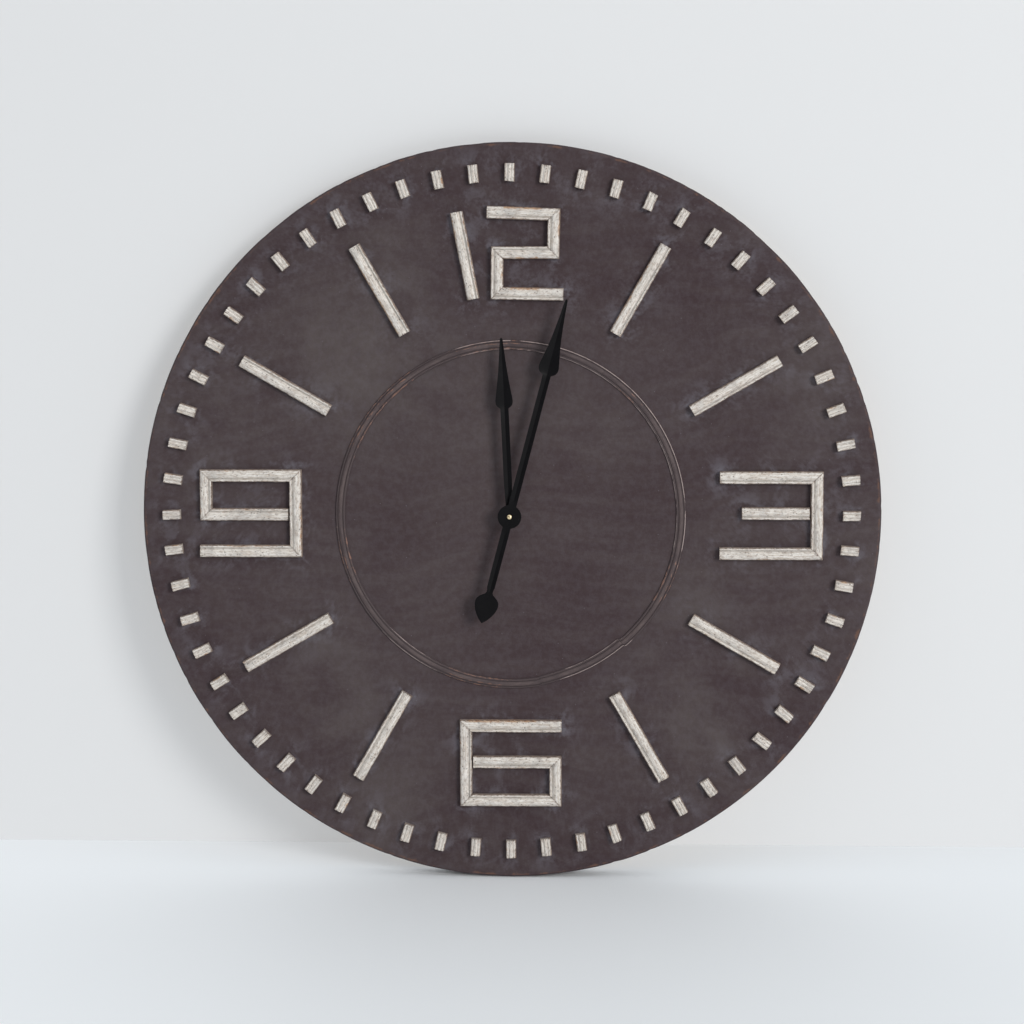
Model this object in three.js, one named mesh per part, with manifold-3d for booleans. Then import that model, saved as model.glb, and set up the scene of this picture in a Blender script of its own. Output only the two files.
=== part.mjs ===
// Large round wall clock: a painted wooden face with strips of moulding for its numerals, two hands,
// and a battery movement behind the centre. Millimetres.
// Local frame of the clock: x to the right, y up, z out of the wall towards the viewer, wall at z = 0,
// centre of the dial at x = y = 0. The last lines turn it upright (+Z up, face towards -Y) and put the
// origin at the point where the hanging screw carries it.
import * as THREE from 'three';
import Module from 'manifold-3d';
import { mergeVertices } from 'three/addons/utils/BufferGeometryUtils.js';

const wasm = await Module();
wasm.setup();

// ---- Driving dimensions -------------------------------------------------------------------------------

const GAP = 0.3; // between two pieces that touch
const RUN = 0.15; // extra radius of a hole round a turning shaft

// Wooden face
const DIAL_R = 500;
const PANEL_T = 10;
const PANEL_EASE = 3; // eased front edge
const RING_SETBACK = 2; // ring frame inside the edge of the panel
const RING_W = 34;
const WALL_CLEARANCE = 2.4; // from the setting knob to the wall
const RAIL_W = 60;
const RAIL_SETBACK = 4; // back of the rails in front of the wall
const RAIL_OFFSET = 300; // each rail above or below the centre

// Moulding strips and blocks
const STRIP_W = 17;
const STRIP_H = 9.7;
const BLOCK_W = 14.5;
const BLOCK_L = 24;
const BLOCK_COUNT = 60;
const RIM_TO_BLOCK = 28;
const BLOCK_TO_BAR = 30.5;
const BAR_L = 135;
const BAR_TO_BEAD = 45;
const BEAD_W = 13;
const BEAD_H = 3.4;
const BEAD_SEAMS = [6, 33, 139, 170]; // degrees clockwise from 12

// Numerals: outer width and height of the 3, 6 and 9, and where the middle strip lies in them
const NUMERAL_W = 139;
const NUMERAL_H = 120;
const NUMERAL_WAIST = 1.5; // middle strip away from half height
const THREE_TONGUE = 93; // free length of the middle strip of the 3
const TWO_W = 93;
const TWO_H = 125;
const TWO_X = -25; // left side of the 2
const TWO_SLOPE = 3.5; // the hand-set top strip falls by this much
const TWO_TOE = 4; // its bottom strip runs past its right side
const TWO_BROW = 5; // its top strip runs past its left side
const TWO_WAIST = 1;
const ONE_L = 118;
const ONE_TILT = 11; // degrees
const ONE_TO_TWO = 35; // middle of the 1 from the left side of the 2
const TWELVE_INSET = 8; // the 12 sits further out than the bars

// Hanger
const PLATE_W = 20;
const PLATE_L = 52;
const PLATE_T = 1.5;
const KEYHOLE_HEAD_R = 5;
const KEYHOLE_SLOT_R = 2.4;
const KEYHOLE_TRAVEL = 12;
const POCKET_DEPTH = 8;
const SCREW_PITCH = 40;
const SCREW_R = 1.6;
const SCREW_HEAD_R = 3.4;
const SCREW_HEAD_T = 1.5;
const SCREW_L = 12;

// Hands
const HAND_T = 1.2;
const HAND_CLEARANCE = 9.4; // from the strips to the hour hand
const HAND_SPACING = 3.4; // from the hour hand to the minute hand
const MINUTE_HAND_L = 301;
const HOUR_HAND_L = 240;
const HAND_SHAFT = 11;
const MINUTE_HUB_R = 16;
const HOUR_HUB_R = 10;
const MINUTE_ANGLE = 14.8; // degrees clockwise from 12 at rest
const HOUR_ANGLE = -2.6;
const COLLET_T = 2.4;
const COLLET_WALL = 2;

// Battery cell (size AA) and movement
const CELL_R = 7.25;
const CELL_L = 49.2;
const CELL_NUB_R = 2.6;
const CELL_NUB_L = 1.3;
const CELL_SLACK = 0.35;
const CONTACT_SPACE = 1.4; // behind each end of the cell
const CONTACT_T = 0.4;
const CONTACT_W = 7;
const CONTACT_TOE = 1; // a contact is this much shorter than the cell is thick, at each end
const CONTACT_BOW = 1; // half the flat top of the sprung contact's bow
const CONTACT_BOW_FOOT = 3.5; // half the bow's foot
const CASE_WALL = 1.2;
const CASE_PLATE = 2; // front plate of the case
const COVER_T = 1.6;
const DECK = 1.6; // pitch of the gear layers
const DECK_COUNT = 6;
const MOTOR_DECK = 3; // layer of the magnet and the stator
const DECK_MARGIN = 0.25;
const WHEEL_T = 0.8;
const BACK_MARGIN = 2.8; // from the last layer to the cover
const ARBOR_R = 0.5;
const PIVOT_DEPTH = 1;
const SIDE_ROOM = 0.5; // round the wheels

const BUSHING_R = 4;
const HOUR_PIPE_R = 2.5;
const MINUTE_ARBOR_R = 1.5;
const WASHER_R = 8;
const WASHER_T = 0.8;
const FIXING_NUT_R = 7; // over its corners
const FIXING_NUT_T = 2.6;
const BUSHING_PROUD = 1.5; // of its nut
const HAND_NUT_R = 3.3;
const HAND_NUT_T = 2.6;
const HAND_NUT_HOLE_R = 0.8;
const STUB_R = 1;
const KNOB_R = 6.5;
const KNOB_T = 3;
const KNOB_SHAFT_R = 1.5;
const KNOB_RIDGES = 18;

// Gears: modules and teeth
const TRAIN_MODULE = 0.3;
const STEP_MODULE = 0.25;
const MOTION_MODULE = 0.4;
const TEETH = {
  centre: 64,
  thirdPinion: 8,
  third: 60,
  secondsPinion: 8,
  seconds: 40,
  stepPinion: 8,
  step: 48,
  rotorPinion: 8,
  cannon: 12,
  minute: 36,
  minutePinion: 10,
  hour: 40,
  knobPinion: 12,
};

// Motor
const MAGNET_R = 3.2;
const MAGNET_T = 1.1;
const STATOR_T = 1;
const STATOR_RING_W = 1.7;
const STATOR_ARM = 4;
const COIL_BUILD = 2.8; // thickness of the winding on its core
const COIL_L = 12;
const CORE_W = 3;
const COIL_FLANGE = 0.9;
const FLANGE_PROUD = 0.4; // of the winding
const BOARD_W = 6;
const BOARD_L = 30;
const BOARD_T = 0.9;
const CHIP_R = 2.2;
const CHIP_H = 0.9;
const CRYSTAL_INSET = 1.8;
const CRYSTAL_W = 2.2;
const CRYSTAL_L = 6.5;
const CRYSTAL_H = 1.6;
const CRYSTAL_LOW = 3; // from the low end of the board

// ---- Places that follow from them ---------------------------------------------------------------------

const CASE_DEPTH = CASE_PLATE + DECK * DECK_COUNT + BACK_MARGIN + COVER_T;
const RING_DEPTH = WALL_CLEARANCE + KNOB_T + GAP + CASE_DEPTH + GAP;
const PANEL_BACK = RING_DEPTH + GAP;
const FACE = PANEL_BACK + PANEL_T;
const ON_FACE = FACE + GAP;
const HOUR_HAND_Z = ON_FACE + STRIP_H + HAND_CLEARANCE;
const MINUTE_HAND_Z = HOUR_HAND_Z + HAND_T + HAND_SPACING;
const HAND_NUT_Z = MINUTE_HAND_Z + HAND_T + GAP;

const BLOCK_R = DIAL_R - RIM_TO_BLOCK - BLOCK_L / 2;
const BAR_OUT_R = BLOCK_R - BLOCK_L / 2 - BLOCK_TO_BAR;
const BAR_IN_R = BAR_OUT_R - BAR_L;
const BEAD_OUT_R = BAR_IN_R - BAR_TO_BEAD;
const BEAD_IN_R = BEAD_OUT_R - BEAD_W;

const RING_OUT_R = DIAL_R - RING_SETBACK;
const RING_IN_R = RING_OUT_R - RING_W;
const RAIL_T = RING_DEPTH - RAIL_SETBACK;

const CASE_FRONT = RING_DEPTH; // the front plate lies a gap behind the panel
const DECKS_TOP = CASE_FRONT - CASE_PLATE;
const COVER_BACK = CASE_FRONT - CASE_DEPTH;
const COVER_INNER = COVER_BACK + COVER_T;

const RADIANS = Math.PI / 180;
const TURN = 2 * Math.PI;

// Low side of layer number `deck` for a piece this thick
const deckZ = (deck, thickness) => DECKS_TOP - DECK * (deck + 1) + (DECK - thickness) / 2;

// ---- Materials ----------------------------------------------------------------------------------------

const finish = (color, roughness, metalness = 0) =>
  new THREE.MeshStandardMaterial({ color, roughness, metalness });
const FACE_PAINT = finish(0x4b4244, 0.85);
const STRIP_PAINT = finish(0xccc6bd, 0.8);
const BARE_WOOD = finish(0xa98a64, 0.75);
const HAND_BLACK = finish(0x101112, 0.5, 0.3);
const BRASS = finish(0xb99a55, 0.35, 0.9);
const STEEL = finish(0xa9abad, 0.4, 0.9);
const CASE_PLASTIC = finish(0x1b1b1c, 0.55);
const GEAR_PLASTIC = finish(0xe4e0d4, 0.5);
const COPPER = finish(0xb3683a, 0.35, 0.8);
const CIRCUIT = finish(0x2d5a3a, 0.6);
const CELL = finish(0x6f7478, 0.4, 0.5);

// ---- Helpers ------------------------------------------------------------------------------------------

const clock = new THREE.Group();

// A named piece in the clock
function piece(name, geometry, material, x = 0, y = 0, z = 0, turn = 0) {
  const mesh = new THREE.Mesh(geometry, material);
  mesh.name = name;
  mesh.position.set(x, y, z);
  mesh.rotation.z = turn;
  clock.add(mesh);
  return mesh;
}

const extrude = (shape, depth, curveSegments = 8) =>
  new THREE.ExtrudeGeometry(shape, { depth, bevelEnabled: false, curveSegments });

// A box from its low corner to its high corner
function block(x0, y0, z0, x1, y1, z1) {
  const box = new THREE.BoxGeometry(x1 - x0, y1 - y0, z1 - z0);
  return box.translate((x0 + x1) / 2, (y0 + y1) / 2, (z0 + z1) / 2);
}

// A disc or shaft along z from z0 to z1
function disc(radius, z0, z1, segments = 16, x = 0, y = 0) {
  const geometry = new THREE.CylinderGeometry(radius, radius, z1 - z0, segments);
  return geometry.rotateX(Math.PI / 2).translate(x, y, (z0 + z1) / 2);
}

// A turned piece about the z axis: the profile is a closed loop of [radius, z]
function turned(profile, segments) {
  const loop = profile.map(([r, z]) => new THREE.Vector2(r, z));
  const geometry = new THREE.LatheGeometry(loop, segments);
  return geometry.rotateX(Math.PI / 2);
}

function solid(geometry) {
  const bare = geometry.clone();
  bare.deleteAttribute('normal');
  bare.deleteAttribute('uv');
  const merged = mergeVertices(bare, 1e-4);
  const vertProperties = new Float32Array(merged.attributes.position.array);
  const triVerts = new Uint32Array(merged.index.array);
  return new wasm.Manifold(new wasm.Mesh({ numProp: 3, vertProperties, triVerts }));
}

function surface(body) {
  const mesh = body.getMesh();
  const geometry = new THREE.BufferGeometry();
  geometry.setAttribute('position', new THREE.BufferAttribute(new Float32Array(mesh.vertProperties), 3));
  geometry.setIndex(new THREE.BufferAttribute(new Uint32Array(mesh.triVerts), 1));
  const faceted = geometry.toNonIndexed();
  faceted.computeVertexNormals();
  return faceted;
}

const joined = (...geometries) => surface(geometries.map(solid).reduce((sum, next) => sum.add(next)));
const cut = (from, ...tools) => surface(tools.map(solid).reduce((rest, tool) => rest.subtract(tool), solid(from)));
const common = (first, second) => surface(solid(first).intersect(solid(second)));

function polygon(points) {
  const shape = new THREE.Shape();
  points.forEach(([x, y], i) => (i ? shape.lineTo(x, y) : shape.moveTo(x, y)));
  shape.closePath();
  return shape;
}

// ---- Moulding strips ----------------------------------------------------------------------------------

// Section of the moulding, seen along its length: a wide soft band, a fine groove, and a narrow lip.
// The lip lies on the side of +across.
function mouldingSection(width, height) {
  const half = width / 2;
  const corner = height * 0.16;
  return polygon([
    [-half, 0],
    [half, 0],
    [half, height - corner],
    [half - width * 0.08, height],
    [half - width * 0.24, height],
    [half - width * 0.29, height * 0.86],
    [half - width * 0.34, height * 0.97],
    [-half + width * 0.14, height],
    [-half, height - corner],
  ]);
}

// A strip from (x0, y0) to (x1, y1) along its middle line. `startCut` and `endCut` are the tangents of the
// mitre angles; `lip` is 1 when the lip is on the right-hand side of the way the strip runs.
function strip(name, x0, y0, x1, y1, startCut = 0, endCut = 0, lip = 1) {
  const length = Math.hypot(x1 - x0, y1 - y0);
  const geometry = extrude(mouldingSection(STRIP_W, STRIP_H), length);
  const at = geometry.attributes.position;
  for (let i = 0; i < at.count; i += 1) {
    const across = at.getX(i) * lip;
    const height = at.getY(i);
    const isEnd = at.getZ(i) > length / 2;
    const along = isEnd ? length - across * endCut : across * startCut;
    at.setXYZ(i, across, along, height);
  }
  if (lip > 0) flip(geometry);
  const turn = Math.atan2(y1 - y0, x1 - x0) - Math.PI / 2;
  piece(name, geometry, STRIP_PAINT, x0, y0, ON_FACE, turn);
}

// Turns every face of a geometry without an index inside out
function flip(geometry) {
  const at = geometry.attributes.position;
  for (let i = 0; i < at.count; i += 3) {
    const first = [at.getX(i), at.getY(i), at.getZ(i)];
    at.setXYZ(i, at.getX(i + 1), at.getY(i + 1), at.getZ(i + 1));
    at.setXYZ(i + 1, ...first);
  }
}

// Strips along a line of corners, mitred where they meet and square at both ends
function stripPath(names, corners, lip = 1) {
  const heading = corners.slice(1).map(([x, y], i) => Math.atan2(y - corners[i][1], x - corners[i][0]));
  names.forEach((name, i) => {
    const [x0, y0] = corners[i];
    const [x1, y1] = corners[i + 1];
    const before = i > 0 ? Math.tan((heading[i] - heading[i - 1]) / 2) : 0;
    const after = i < names.length - 1 ? Math.tan((heading[i + 1] - heading[i]) / 2) : 0;
    const way = heading[i];
    const startGap = i > 0 ? (GAP / 2) * Math.hypot(1, before) : 0;
    const endGap = i < names.length - 1 ? (GAP / 2) * Math.hypot(1, after) : 0;
    const startX = x0 + Math.cos(way) * startGap;
    const startY = y0 + Math.sin(way) * startGap;
    const endX = x1 - Math.cos(way) * endGap;
    const endY = y1 - Math.sin(way) * endGap;
    strip(name, startX, startY, endX, endY, -before, -after, lip);
  });
}

// ---- Wooden face --------------------------------------------------------------------------------------

const FACETS = 120; // round the panel
const FRAME_FACETS = 72; // round the ring frame and the bead
const PANEL_HOLE_R = BUSHING_R + GAP;

function dialPanel() {
  const panel = turned([
    [PANEL_HOLE_R, PANEL_BACK],
    [DIAL_R, PANEL_BACK],
    [DIAL_R, FACE - PANEL_EASE],
    [DIAL_R - PANEL_EASE * 0.3, FACE - PANEL_EASE * 0.3],
    [DIAL_R - PANEL_EASE, FACE],
    [PANEL_HOLE_R, FACE],
    [PANEL_HOLE_R, PANEL_BACK],
  ], FACETS);
  const seat = 1; // the blocks reach this far into the panel
  const half = BLOCK_W / 2;
  const top = STRIP_H + GAP + seat;
  const chamfer = 1.5;
  const blockSection = polygon([
    [-half, 0],
    [half, 0],
    [half, top - chamfer],
    [half - chamfer, top],
    [-half + chamfer, top],
    [-half, top - chamfer],
  ]);
  let body = solid(panel);
  for (let i = 0; i < BLOCK_COUNT; i += 1) {
    const slice = extrude(blockSection, BLOCK_L);
    slice.rotateX(Math.PI / 2).translate(0, BLOCK_R + BLOCK_L / 2, FACE - seat);
    slice.rotateZ((-TURN * i) / BLOCK_COUNT);
    body = body.add(solid(slice));
  }
  return surface(body);
}
piece('dial_panel', dialPanel(), FACE_PAINT);

piece('rim_ring_frame', turned([
  [RING_IN_R, 0],
  [RING_OUT_R, 0],
  [RING_OUT_R, RING_DEPTH],
  [RING_IN_R, RING_DEPTH],
  [RING_IN_R, 0],
], FRAME_FACETS), BARE_WOOD);

// Point where the hanging screw carries the clock: the top of the keyhole slot
const HANG_Y = RAIL_OFFSET;
const KEYHOLE_Y = HANG_Y - KEYHOLE_TRAVEL / 2; // middle of the keyhole and of its plate
const HEAD_Y = HANG_Y - KEYHOLE_TRAVEL;
const SCREW_YS = [KEYHOLE_Y - SCREW_PITCH / 2, KEYHOLE_Y + SCREW_PITCH / 2];

function rail(middleY, ...cuts) {
  const bar = block(-RING_IN_R, middleY - RAIL_W / 2, RAIL_SETBACK, RING_IN_R, middleY + RAIL_W / 2, RING_DEPTH);
  const inside = turned([
    [0, 0],
    [RING_IN_R - GAP, 0],
    [RING_IN_R - GAP, RING_DEPTH + 1],
    [0, RING_DEPTH + 1],
  ], FRAME_FACETS);
  const fitted = common(bar, inside);
  return cuts.length ? cut(fitted, ...cuts) : fitted;
}

function hangerCuts() {
  const room = KEYHOLE_HEAD_R + 1.5;
  const pocket = block(-room, HEAD_Y - room, 0, room, HANG_Y + room, RAIL_SETBACK + POCKET_DEPTH);
  const holeEnd = RAIL_SETBACK + SCREW_L;
  const holes = SCREW_YS.map((y) => disc(SCREW_R + GAP, 0, holeEnd, 10, 0, y));
  return [pocket, ...holes];
}
piece('upper_back_rail', rail(RAIL_OFFSET, ...hangerCuts()), BARE_WOOD);
piece('lower_back_rail', rail(-RAIL_OFFSET), BARE_WOOD);

function keyholePlate() {
  const half = PLATE_W / 2;
  const low = KEYHOLE_Y - PLATE_L / 2;
  const high = KEYHOLE_Y + PLATE_L / 2;
  const corner = 3;
  const shape = polygon([
    [-half + corner, low],
    [half - corner, low],
    [half, low + corner],
    [half, high - corner],
    [half - corner, high],
    [-half + corner, high],
    [-half, high - corner],
    [-half, low + corner],
  ]);
  const neck = Math.asin(KEYHOLE_SLOT_R / KEYHOLE_HEAD_R);
  const keyhole = new THREE.Path();
  keyhole.absarc(0, HANG_Y, KEYHOLE_SLOT_R, 0, Math.PI, false);
  keyhole.absarc(0, HEAD_Y, KEYHOLE_HEAD_R, Math.PI / 2 + neck, TURN + Math.PI / 2 - neck, false);
  shape.holes.push(keyhole);
  for (const y of SCREW_YS) {
    const hole = new THREE.Path();
    hole.absarc(0, y, SCREW_R + GAP, 0, TURN, true);
    shape.holes.push(hole);
  }
  return extrude(shape, PLATE_T, 6);
}
const PLATE_Z = RAIL_SETBACK - GAP - PLATE_T;
piece('keyhole_hanger', keyholePlate(), STEEL, 0, 0, PLATE_Z);

function hangerScrew() {
  return turned([
    [0, 0],
    [SCREW_HEAD_R * 0.6, 0],
    [SCREW_HEAD_R, SCREW_HEAD_T * 0.5],
    [SCREW_HEAD_R, SCREW_HEAD_T],
    [SCREW_R, SCREW_HEAD_T],
    [SCREW_R, SCREW_HEAD_T + SCREW_L - 2],
    [0, SCREW_HEAD_T + SCREW_L],
  ], 10);
}
const SCREW_Z = PLATE_Z - GAP - SCREW_HEAD_T;
piece('hanger_screw_lower', hangerScrew(), STEEL, 0, SCREW_YS[0], SCREW_Z);
piece('hanger_screw_upper', hangerScrew(), STEEL, 0, SCREW_YS[1], SCREW_Z);

// Bead ring in bent lengths that butt at their seams
function beadRing() {
  const step = BEAD_W / 13;
  return turned([
    [BEAD_IN_R, ON_FACE],
    [BEAD_OUT_R, ON_FACE],
    [BEAD_OUT_R, ON_FACE + BEAD_H * 0.35],
    [BEAD_OUT_R - 4 * step, ON_FACE + BEAD_H],
    [BEAD_IN_R + 4 * step, ON_FACE + BEAD_H],
    [BEAD_IN_R, ON_FACE + BEAD_H * 0.35],
    [BEAD_IN_R, ON_FACE],
  ], FRAME_FACETS);
}

// Clockwise angle from 12 o'clock, in degrees, to a point at this radius
const onDial = (degrees, radius) => [radius * Math.sin(degrees * RADIANS), radius * Math.cos(degrees * RADIANS)];

function sector(fromDegrees, toDegrees, radius) {
  const points = [[0, 0]];
  const steps = Math.ceil((toDegrees - fromDegrees) / 30);
  for (let i = steps; i >= 0; i -= 1) {
    points.push(onDial(fromDegrees + ((toDegrees - fromDegrees) * i) / steps, radius));
  }
  return extrude(polygon(points), BEAD_H + 2 * GAP).translate(0, 0, FACE);
}
const ring = beadRing();
const seamHalfGap = (GAP / 2 / BEAD_IN_R) / RADIANS;
BEAD_SEAMS.forEach((seam, i) => {
  const last = i === BEAD_SEAMS.length - 1;
  const next = last ? BEAD_SEAMS[0] + 360 : BEAD_SEAMS[i + 1];
  const length = common(ring, sector(seam + seamHalfGap, next - seamHalfGap, DIAL_R));
  piece(`bead_length_${i + 1}`, length, FACE_PAINT);
});

// ---- Hour bars and numerals ---------------------------------------------------------------------------

// The lip of each bar is on its clockwise side
for (const hour of [1, 2, 4, 5, 7, 8, 10, 11]) {
  const [x0, y0] = onDial(hour * 30, BAR_IN_R);
  const [x1, y1] = onDial(hour * 30, BAR_OUT_R);
  strip(`hour_bar_${hour}`, x0, y0, x1, y1);
}

const MIDDLE = STRIP_W / 2; // from the edge of a strip to its middle line

// 3: a bracket of three strips and a tongue that butts its upright
const threeLeft = BAR_IN_R;
const threeRight = threeLeft + NUMERAL_W - MIDDLE;
const threeHalf = NUMERAL_H / 2 - MIDDLE;
stripPath(['three_top', 'three_upright', 'three_bottom'], [
  [threeLeft, threeHalf],
  [threeRight, threeHalf],
  [threeRight, -threeHalf],
  [threeLeft, -threeHalf],
]);
const tongueEnd = threeRight - MIDDLE - GAP;
strip('three_middle', tongueEnd - THREE_TONGUE, 2 * NUMERAL_WAIST, tongueEnd, 2 * NUMERAL_WAIST);

// 6, and the same turned half round for 9: five strips in one line that ends against its own upright.
// `side` is 1 for the 6 and -1 for the 9.
function loopNumeral(prefix, names, centreX, centreY, side) {
  const halfW = NUMERAL_W / 2 - MIDDLE;
  const halfH = NUMERAL_H / 2 - MIDDLE;
  const at = (x, y) => [centreX + side * x, centreY + side * y];
  stripPath(names.map((name) => `${prefix}_${name}`), [
    at(halfW + MIDDLE, halfH),
    at(-halfW, halfH),
    at(-halfW, -halfH),
    at(halfW, -halfH),
    at(halfW, NUMERAL_WAIST),
    at(-halfW + MIDDLE + GAP, NUMERAL_WAIST),
  ], -1);
}
const sixY = -(BAR_IN_R - 2 + NUMERAL_H / 2);
loopNumeral('six', ['top', 'left_upright', 'bottom', 'right_upright', 'middle'], 0, sixY, 1);
const nineX = -(BAR_IN_R + NUMERAL_W / 2);
loopNumeral('nine', ['bottom', 'right_upright', 'top', 'left_upright', 'middle'], nineX, 2, -1);

// 12: a tilted single strip and a hand-set 2 of five strips
const twelveLow = BAR_IN_R + TWELVE_INSET;
const twoLow = twelveLow + MIDDLE;
const twoHigh = twelveLow + TWO_H - MIDDLE;
const twoMiddle = (twoLow + twoHigh) / 2;
const twoLeft = TWO_X + MIDDLE;
const twoRight = TWO_X + TWO_W - MIDDLE;
stripPath(['two_top', 'two_right_upright', 'two_middle', 'two_left_upright', 'two_bottom'], [
  [TWO_X - TWO_BROW, twoHigh],
  [twoRight, twoHigh - TWO_SLOPE],
  [twoRight - TWO_WAIST, twoMiddle],
  [twoLeft, twoMiddle],
  [twoLeft - TWO_WAIST / 2, twoLow],
  [twoRight + MIDDLE + TWO_TOE, twoLow - TWO_SLOPE / 2],
]);
const oneX = TWO_X - ONE_TO_TWO;
const oneY = twelveLow + TWO_H / 2 - 4;
const oneRunX = (Math.sin(ONE_TILT * RADIANS) * ONE_L) / 2;
const oneRunY = (Math.cos(ONE_TILT * RADIANS) * ONE_L) / 2;
strip('one_strip', oneX + oneRunX, oneY - oneRunY, oneX - oneRunX, oneY + oneRunY);

// ---- Hands --------------------------------------------------------------------------------------------

// Right half of a hand's arrow head, from its base to its tip
function arrowHead(shape, side, length, tipHalf, barbY, barbHalf, baseY) {
  const shaft = HAND_SHAFT / 2;
  const down = [
    () => shape.lineTo(side * barbHalf, barbY),
    () => shape.quadraticCurveTo(side * (barbHalf + 0.3), baseY + 2, side * shaft, baseY),
  ];
  const up = [
    () => shape.quadraticCurveTo(side * (barbHalf + 0.3), baseY + 2, side * barbHalf, barbY),
    () => shape.lineTo(side * tipHalf, length - tipHalf),
  ];
  for (const draw of side > 0 ? down : up) draw();
}

function minuteHand() {
  const shaft = HAND_SHAFT / 2;
  const hub = Math.sqrt(MINUTE_HUB_R ** 2 - shaft ** 2);
  const join = Math.atan2(hub, shaft);
  const neck = 4;
  const neckY = -106;
  const spadeHalf = 16;
  const spadeY = -123;
  const spadeTip = -149;
  const tipHalf = 1.8;
  const barbY = MINUTE_HAND_L - 93;
  const barbHalf = 13.5;
  const baseY = MINUTE_HAND_L - 104;
  const shape = new THREE.Shape();
  shape.moveTo(tipHalf, MINUTE_HAND_L - tipHalf);
  arrowHead(shape, 1, MINUTE_HAND_L, tipHalf, barbY, barbHalf, baseY);
  shape.lineTo(shaft, hub);
  shape.absarc(0, 0, MINUTE_HUB_R, join, -join, true);
  shape.lineTo(shaft, neckY + 7);
  shape.lineTo(neck, neckY);
  shape.bezierCurveTo(neck + 2, neckY - 7, spadeHalf, neckY - 4, spadeHalf, spadeY);
  shape.bezierCurveTo(spadeHalf, spadeY - 10, 7, spadeTip + 8, 0, spadeTip);
  shape.bezierCurveTo(-7, spadeTip + 8, -spadeHalf, spadeY - 10, -spadeHalf, spadeY);
  shape.bezierCurveTo(-spadeHalf, neckY - 4, -neck - 2, neckY - 7, -neck, neckY);
  shape.lineTo(-shaft, neckY + 7);
  shape.lineTo(-shaft, -hub);
  shape.absarc(0, 0, MINUTE_HUB_R, Math.PI + join, Math.PI - join, true);
  shape.lineTo(-shaft, baseY);
  arrowHead(shape, -1, MINUTE_HAND_L, tipHalf, barbY, barbHalf, baseY);
  shape.absarc(0, MINUTE_HAND_L - tipHalf, tipHalf, Math.PI, 0, true);
  return handWithCollet(shape, MINUTE_ARBOR_R);
}

function hourHand() {
  const shaft = HAND_SHAFT / 2;
  const foot = 4.2; // half the shaft where it leaves the hub
  const join = Math.acos(foot / HOUR_HUB_R);
  const tipHalf = 2;
  const barbY = HOUR_HAND_L - 84;
  const barbHalf = 11.6;
  const baseY = HOUR_HAND_L - 94;
  const footY = 50; // the shaft narrows from here to the hub
  const shape = new THREE.Shape();
  shape.moveTo(tipHalf, HOUR_HAND_L - tipHalf);
  arrowHead(shape, 1, HOUR_HAND_L, tipHalf, barbY, barbHalf, baseY);
  shape.lineTo(shaft, footY);
  shape.lineTo(foot, HOUR_HUB_R * Math.sin(join));
  shape.absarc(0, 0, HOUR_HUB_R, join, Math.PI - join, true);
  shape.lineTo(-shaft, footY);
  shape.lineTo(-shaft, baseY);
  arrowHead(shape, -1, HOUR_HAND_L, tipHalf, barbY, barbHalf, baseY);
  shape.absarc(0, HOUR_HAND_L - tipHalf, tipHalf, Math.PI, 0, true);
  return handWithCollet(shape, HOUR_PIPE_R);
}

// A flat hand with a short collet behind it, bored to fit its shaft
function handWithCollet(shape, shaftR) {
  const blade = extrude(shape, HAND_T, 5);
  const collet = disc(shaftR + GAP + COLLET_WALL, -COLLET_T, HAND_T / 2, 16);
  const bore = disc(shaftR + GAP, -COLLET_T - 1, HAND_T + 1, 16);
  return cut(joined(blade, collet), bore);
}
piece('minute_hand', minuteHand(), HAND_BLACK, 0, 0, MINUTE_HAND_Z, -MINUTE_ANGLE * RADIANS);
piece('hour_hand', hourHand(), HAND_BLACK, 0, 0, HOUR_HAND_Z, -HOUR_ANGLE * RADIANS);

piece('hand_nut', turned([
  [STUB_R + GAP, 0],
  [HAND_NUT_R, 0],
  [HAND_NUT_R, HAND_NUT_T * 0.7],
  [HAND_NUT_R * 0.75, HAND_NUT_T],
  [HAND_NUT_HOLE_R, HAND_NUT_T],
  [HAND_NUT_HOLE_R, HAND_NUT_T * 0.75],
  [STUB_R + GAP, HAND_NUT_T * 0.75],
  [STUB_R + GAP, 0],
], 16), BRASS, 0, 0, HAND_NUT_Z);

// ---- Gear geometry ------------------------------------------------------------------------------------

const ADDENDUM = 0.7; // in modules
const DEDENDUM = 1.15;
const TOOTH_TIP = 0.15; // share of the pitch
const pitchR = (teeth, module) => (teeth * module) / 2;
const tipR = (teeth, module) => pitchR(teeth, module) + ADDENDUM * module;

// A spur gear with straight-sided teeth, V-shaped gaps and the first tooth at `phase`
function gear(teeth, module, thickness, z0, phase) {
  const root = pitchR(teeth, module) - DEDENDUM * module;
  const tip = tipR(teeth, module);
  const pitch = TURN / teeth;
  const points = [];
  for (let i = 0; i < teeth; i += 1) {
    const middle = phase + i * pitch;
    const corners = [[root, -1], [tip, -TOOTH_TIP], [tip, TOOTH_TIP]];
    for (const [radius, share] of corners) {
      const angle = middle + (share * pitch) / 2;
      points.push([radius * Math.cos(angle), radius * Math.sin(angle)]);
    }
  }
  return extrude(polygon(points), thickness).translate(0, 0, z0);
}

// Phase of a gear that meshes with another: `direction` points from the first gear to the second
function meshPhase(firstTeeth, firstPhase, direction, secondTeeth) {
  const first = ((direction - firstPhase) * firstTeeth) / TURN;
  return direction + Math.PI - ((0.5 - first) * TURN) / secondTeeth;
}

const away = ([x, y], direction, distance) => [
  x + distance * Math.cos(direction),
  y + distance * Math.sin(direction),
];

// ---- Places of the arbors -----------------------------------------------------------------------------

const THIRD_DIRECTION = 140 * RADIANS;
const SECONDS_DIRECTION = 60 * RADIANS;
const STEP_DIRECTION = 0;
const ROTOR_DIRECTION = -20 * RADIANS;
const MINUTE_DIRECTION = 0;
const KNOB_DIRECTION = -20 * RADIANS;

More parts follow.
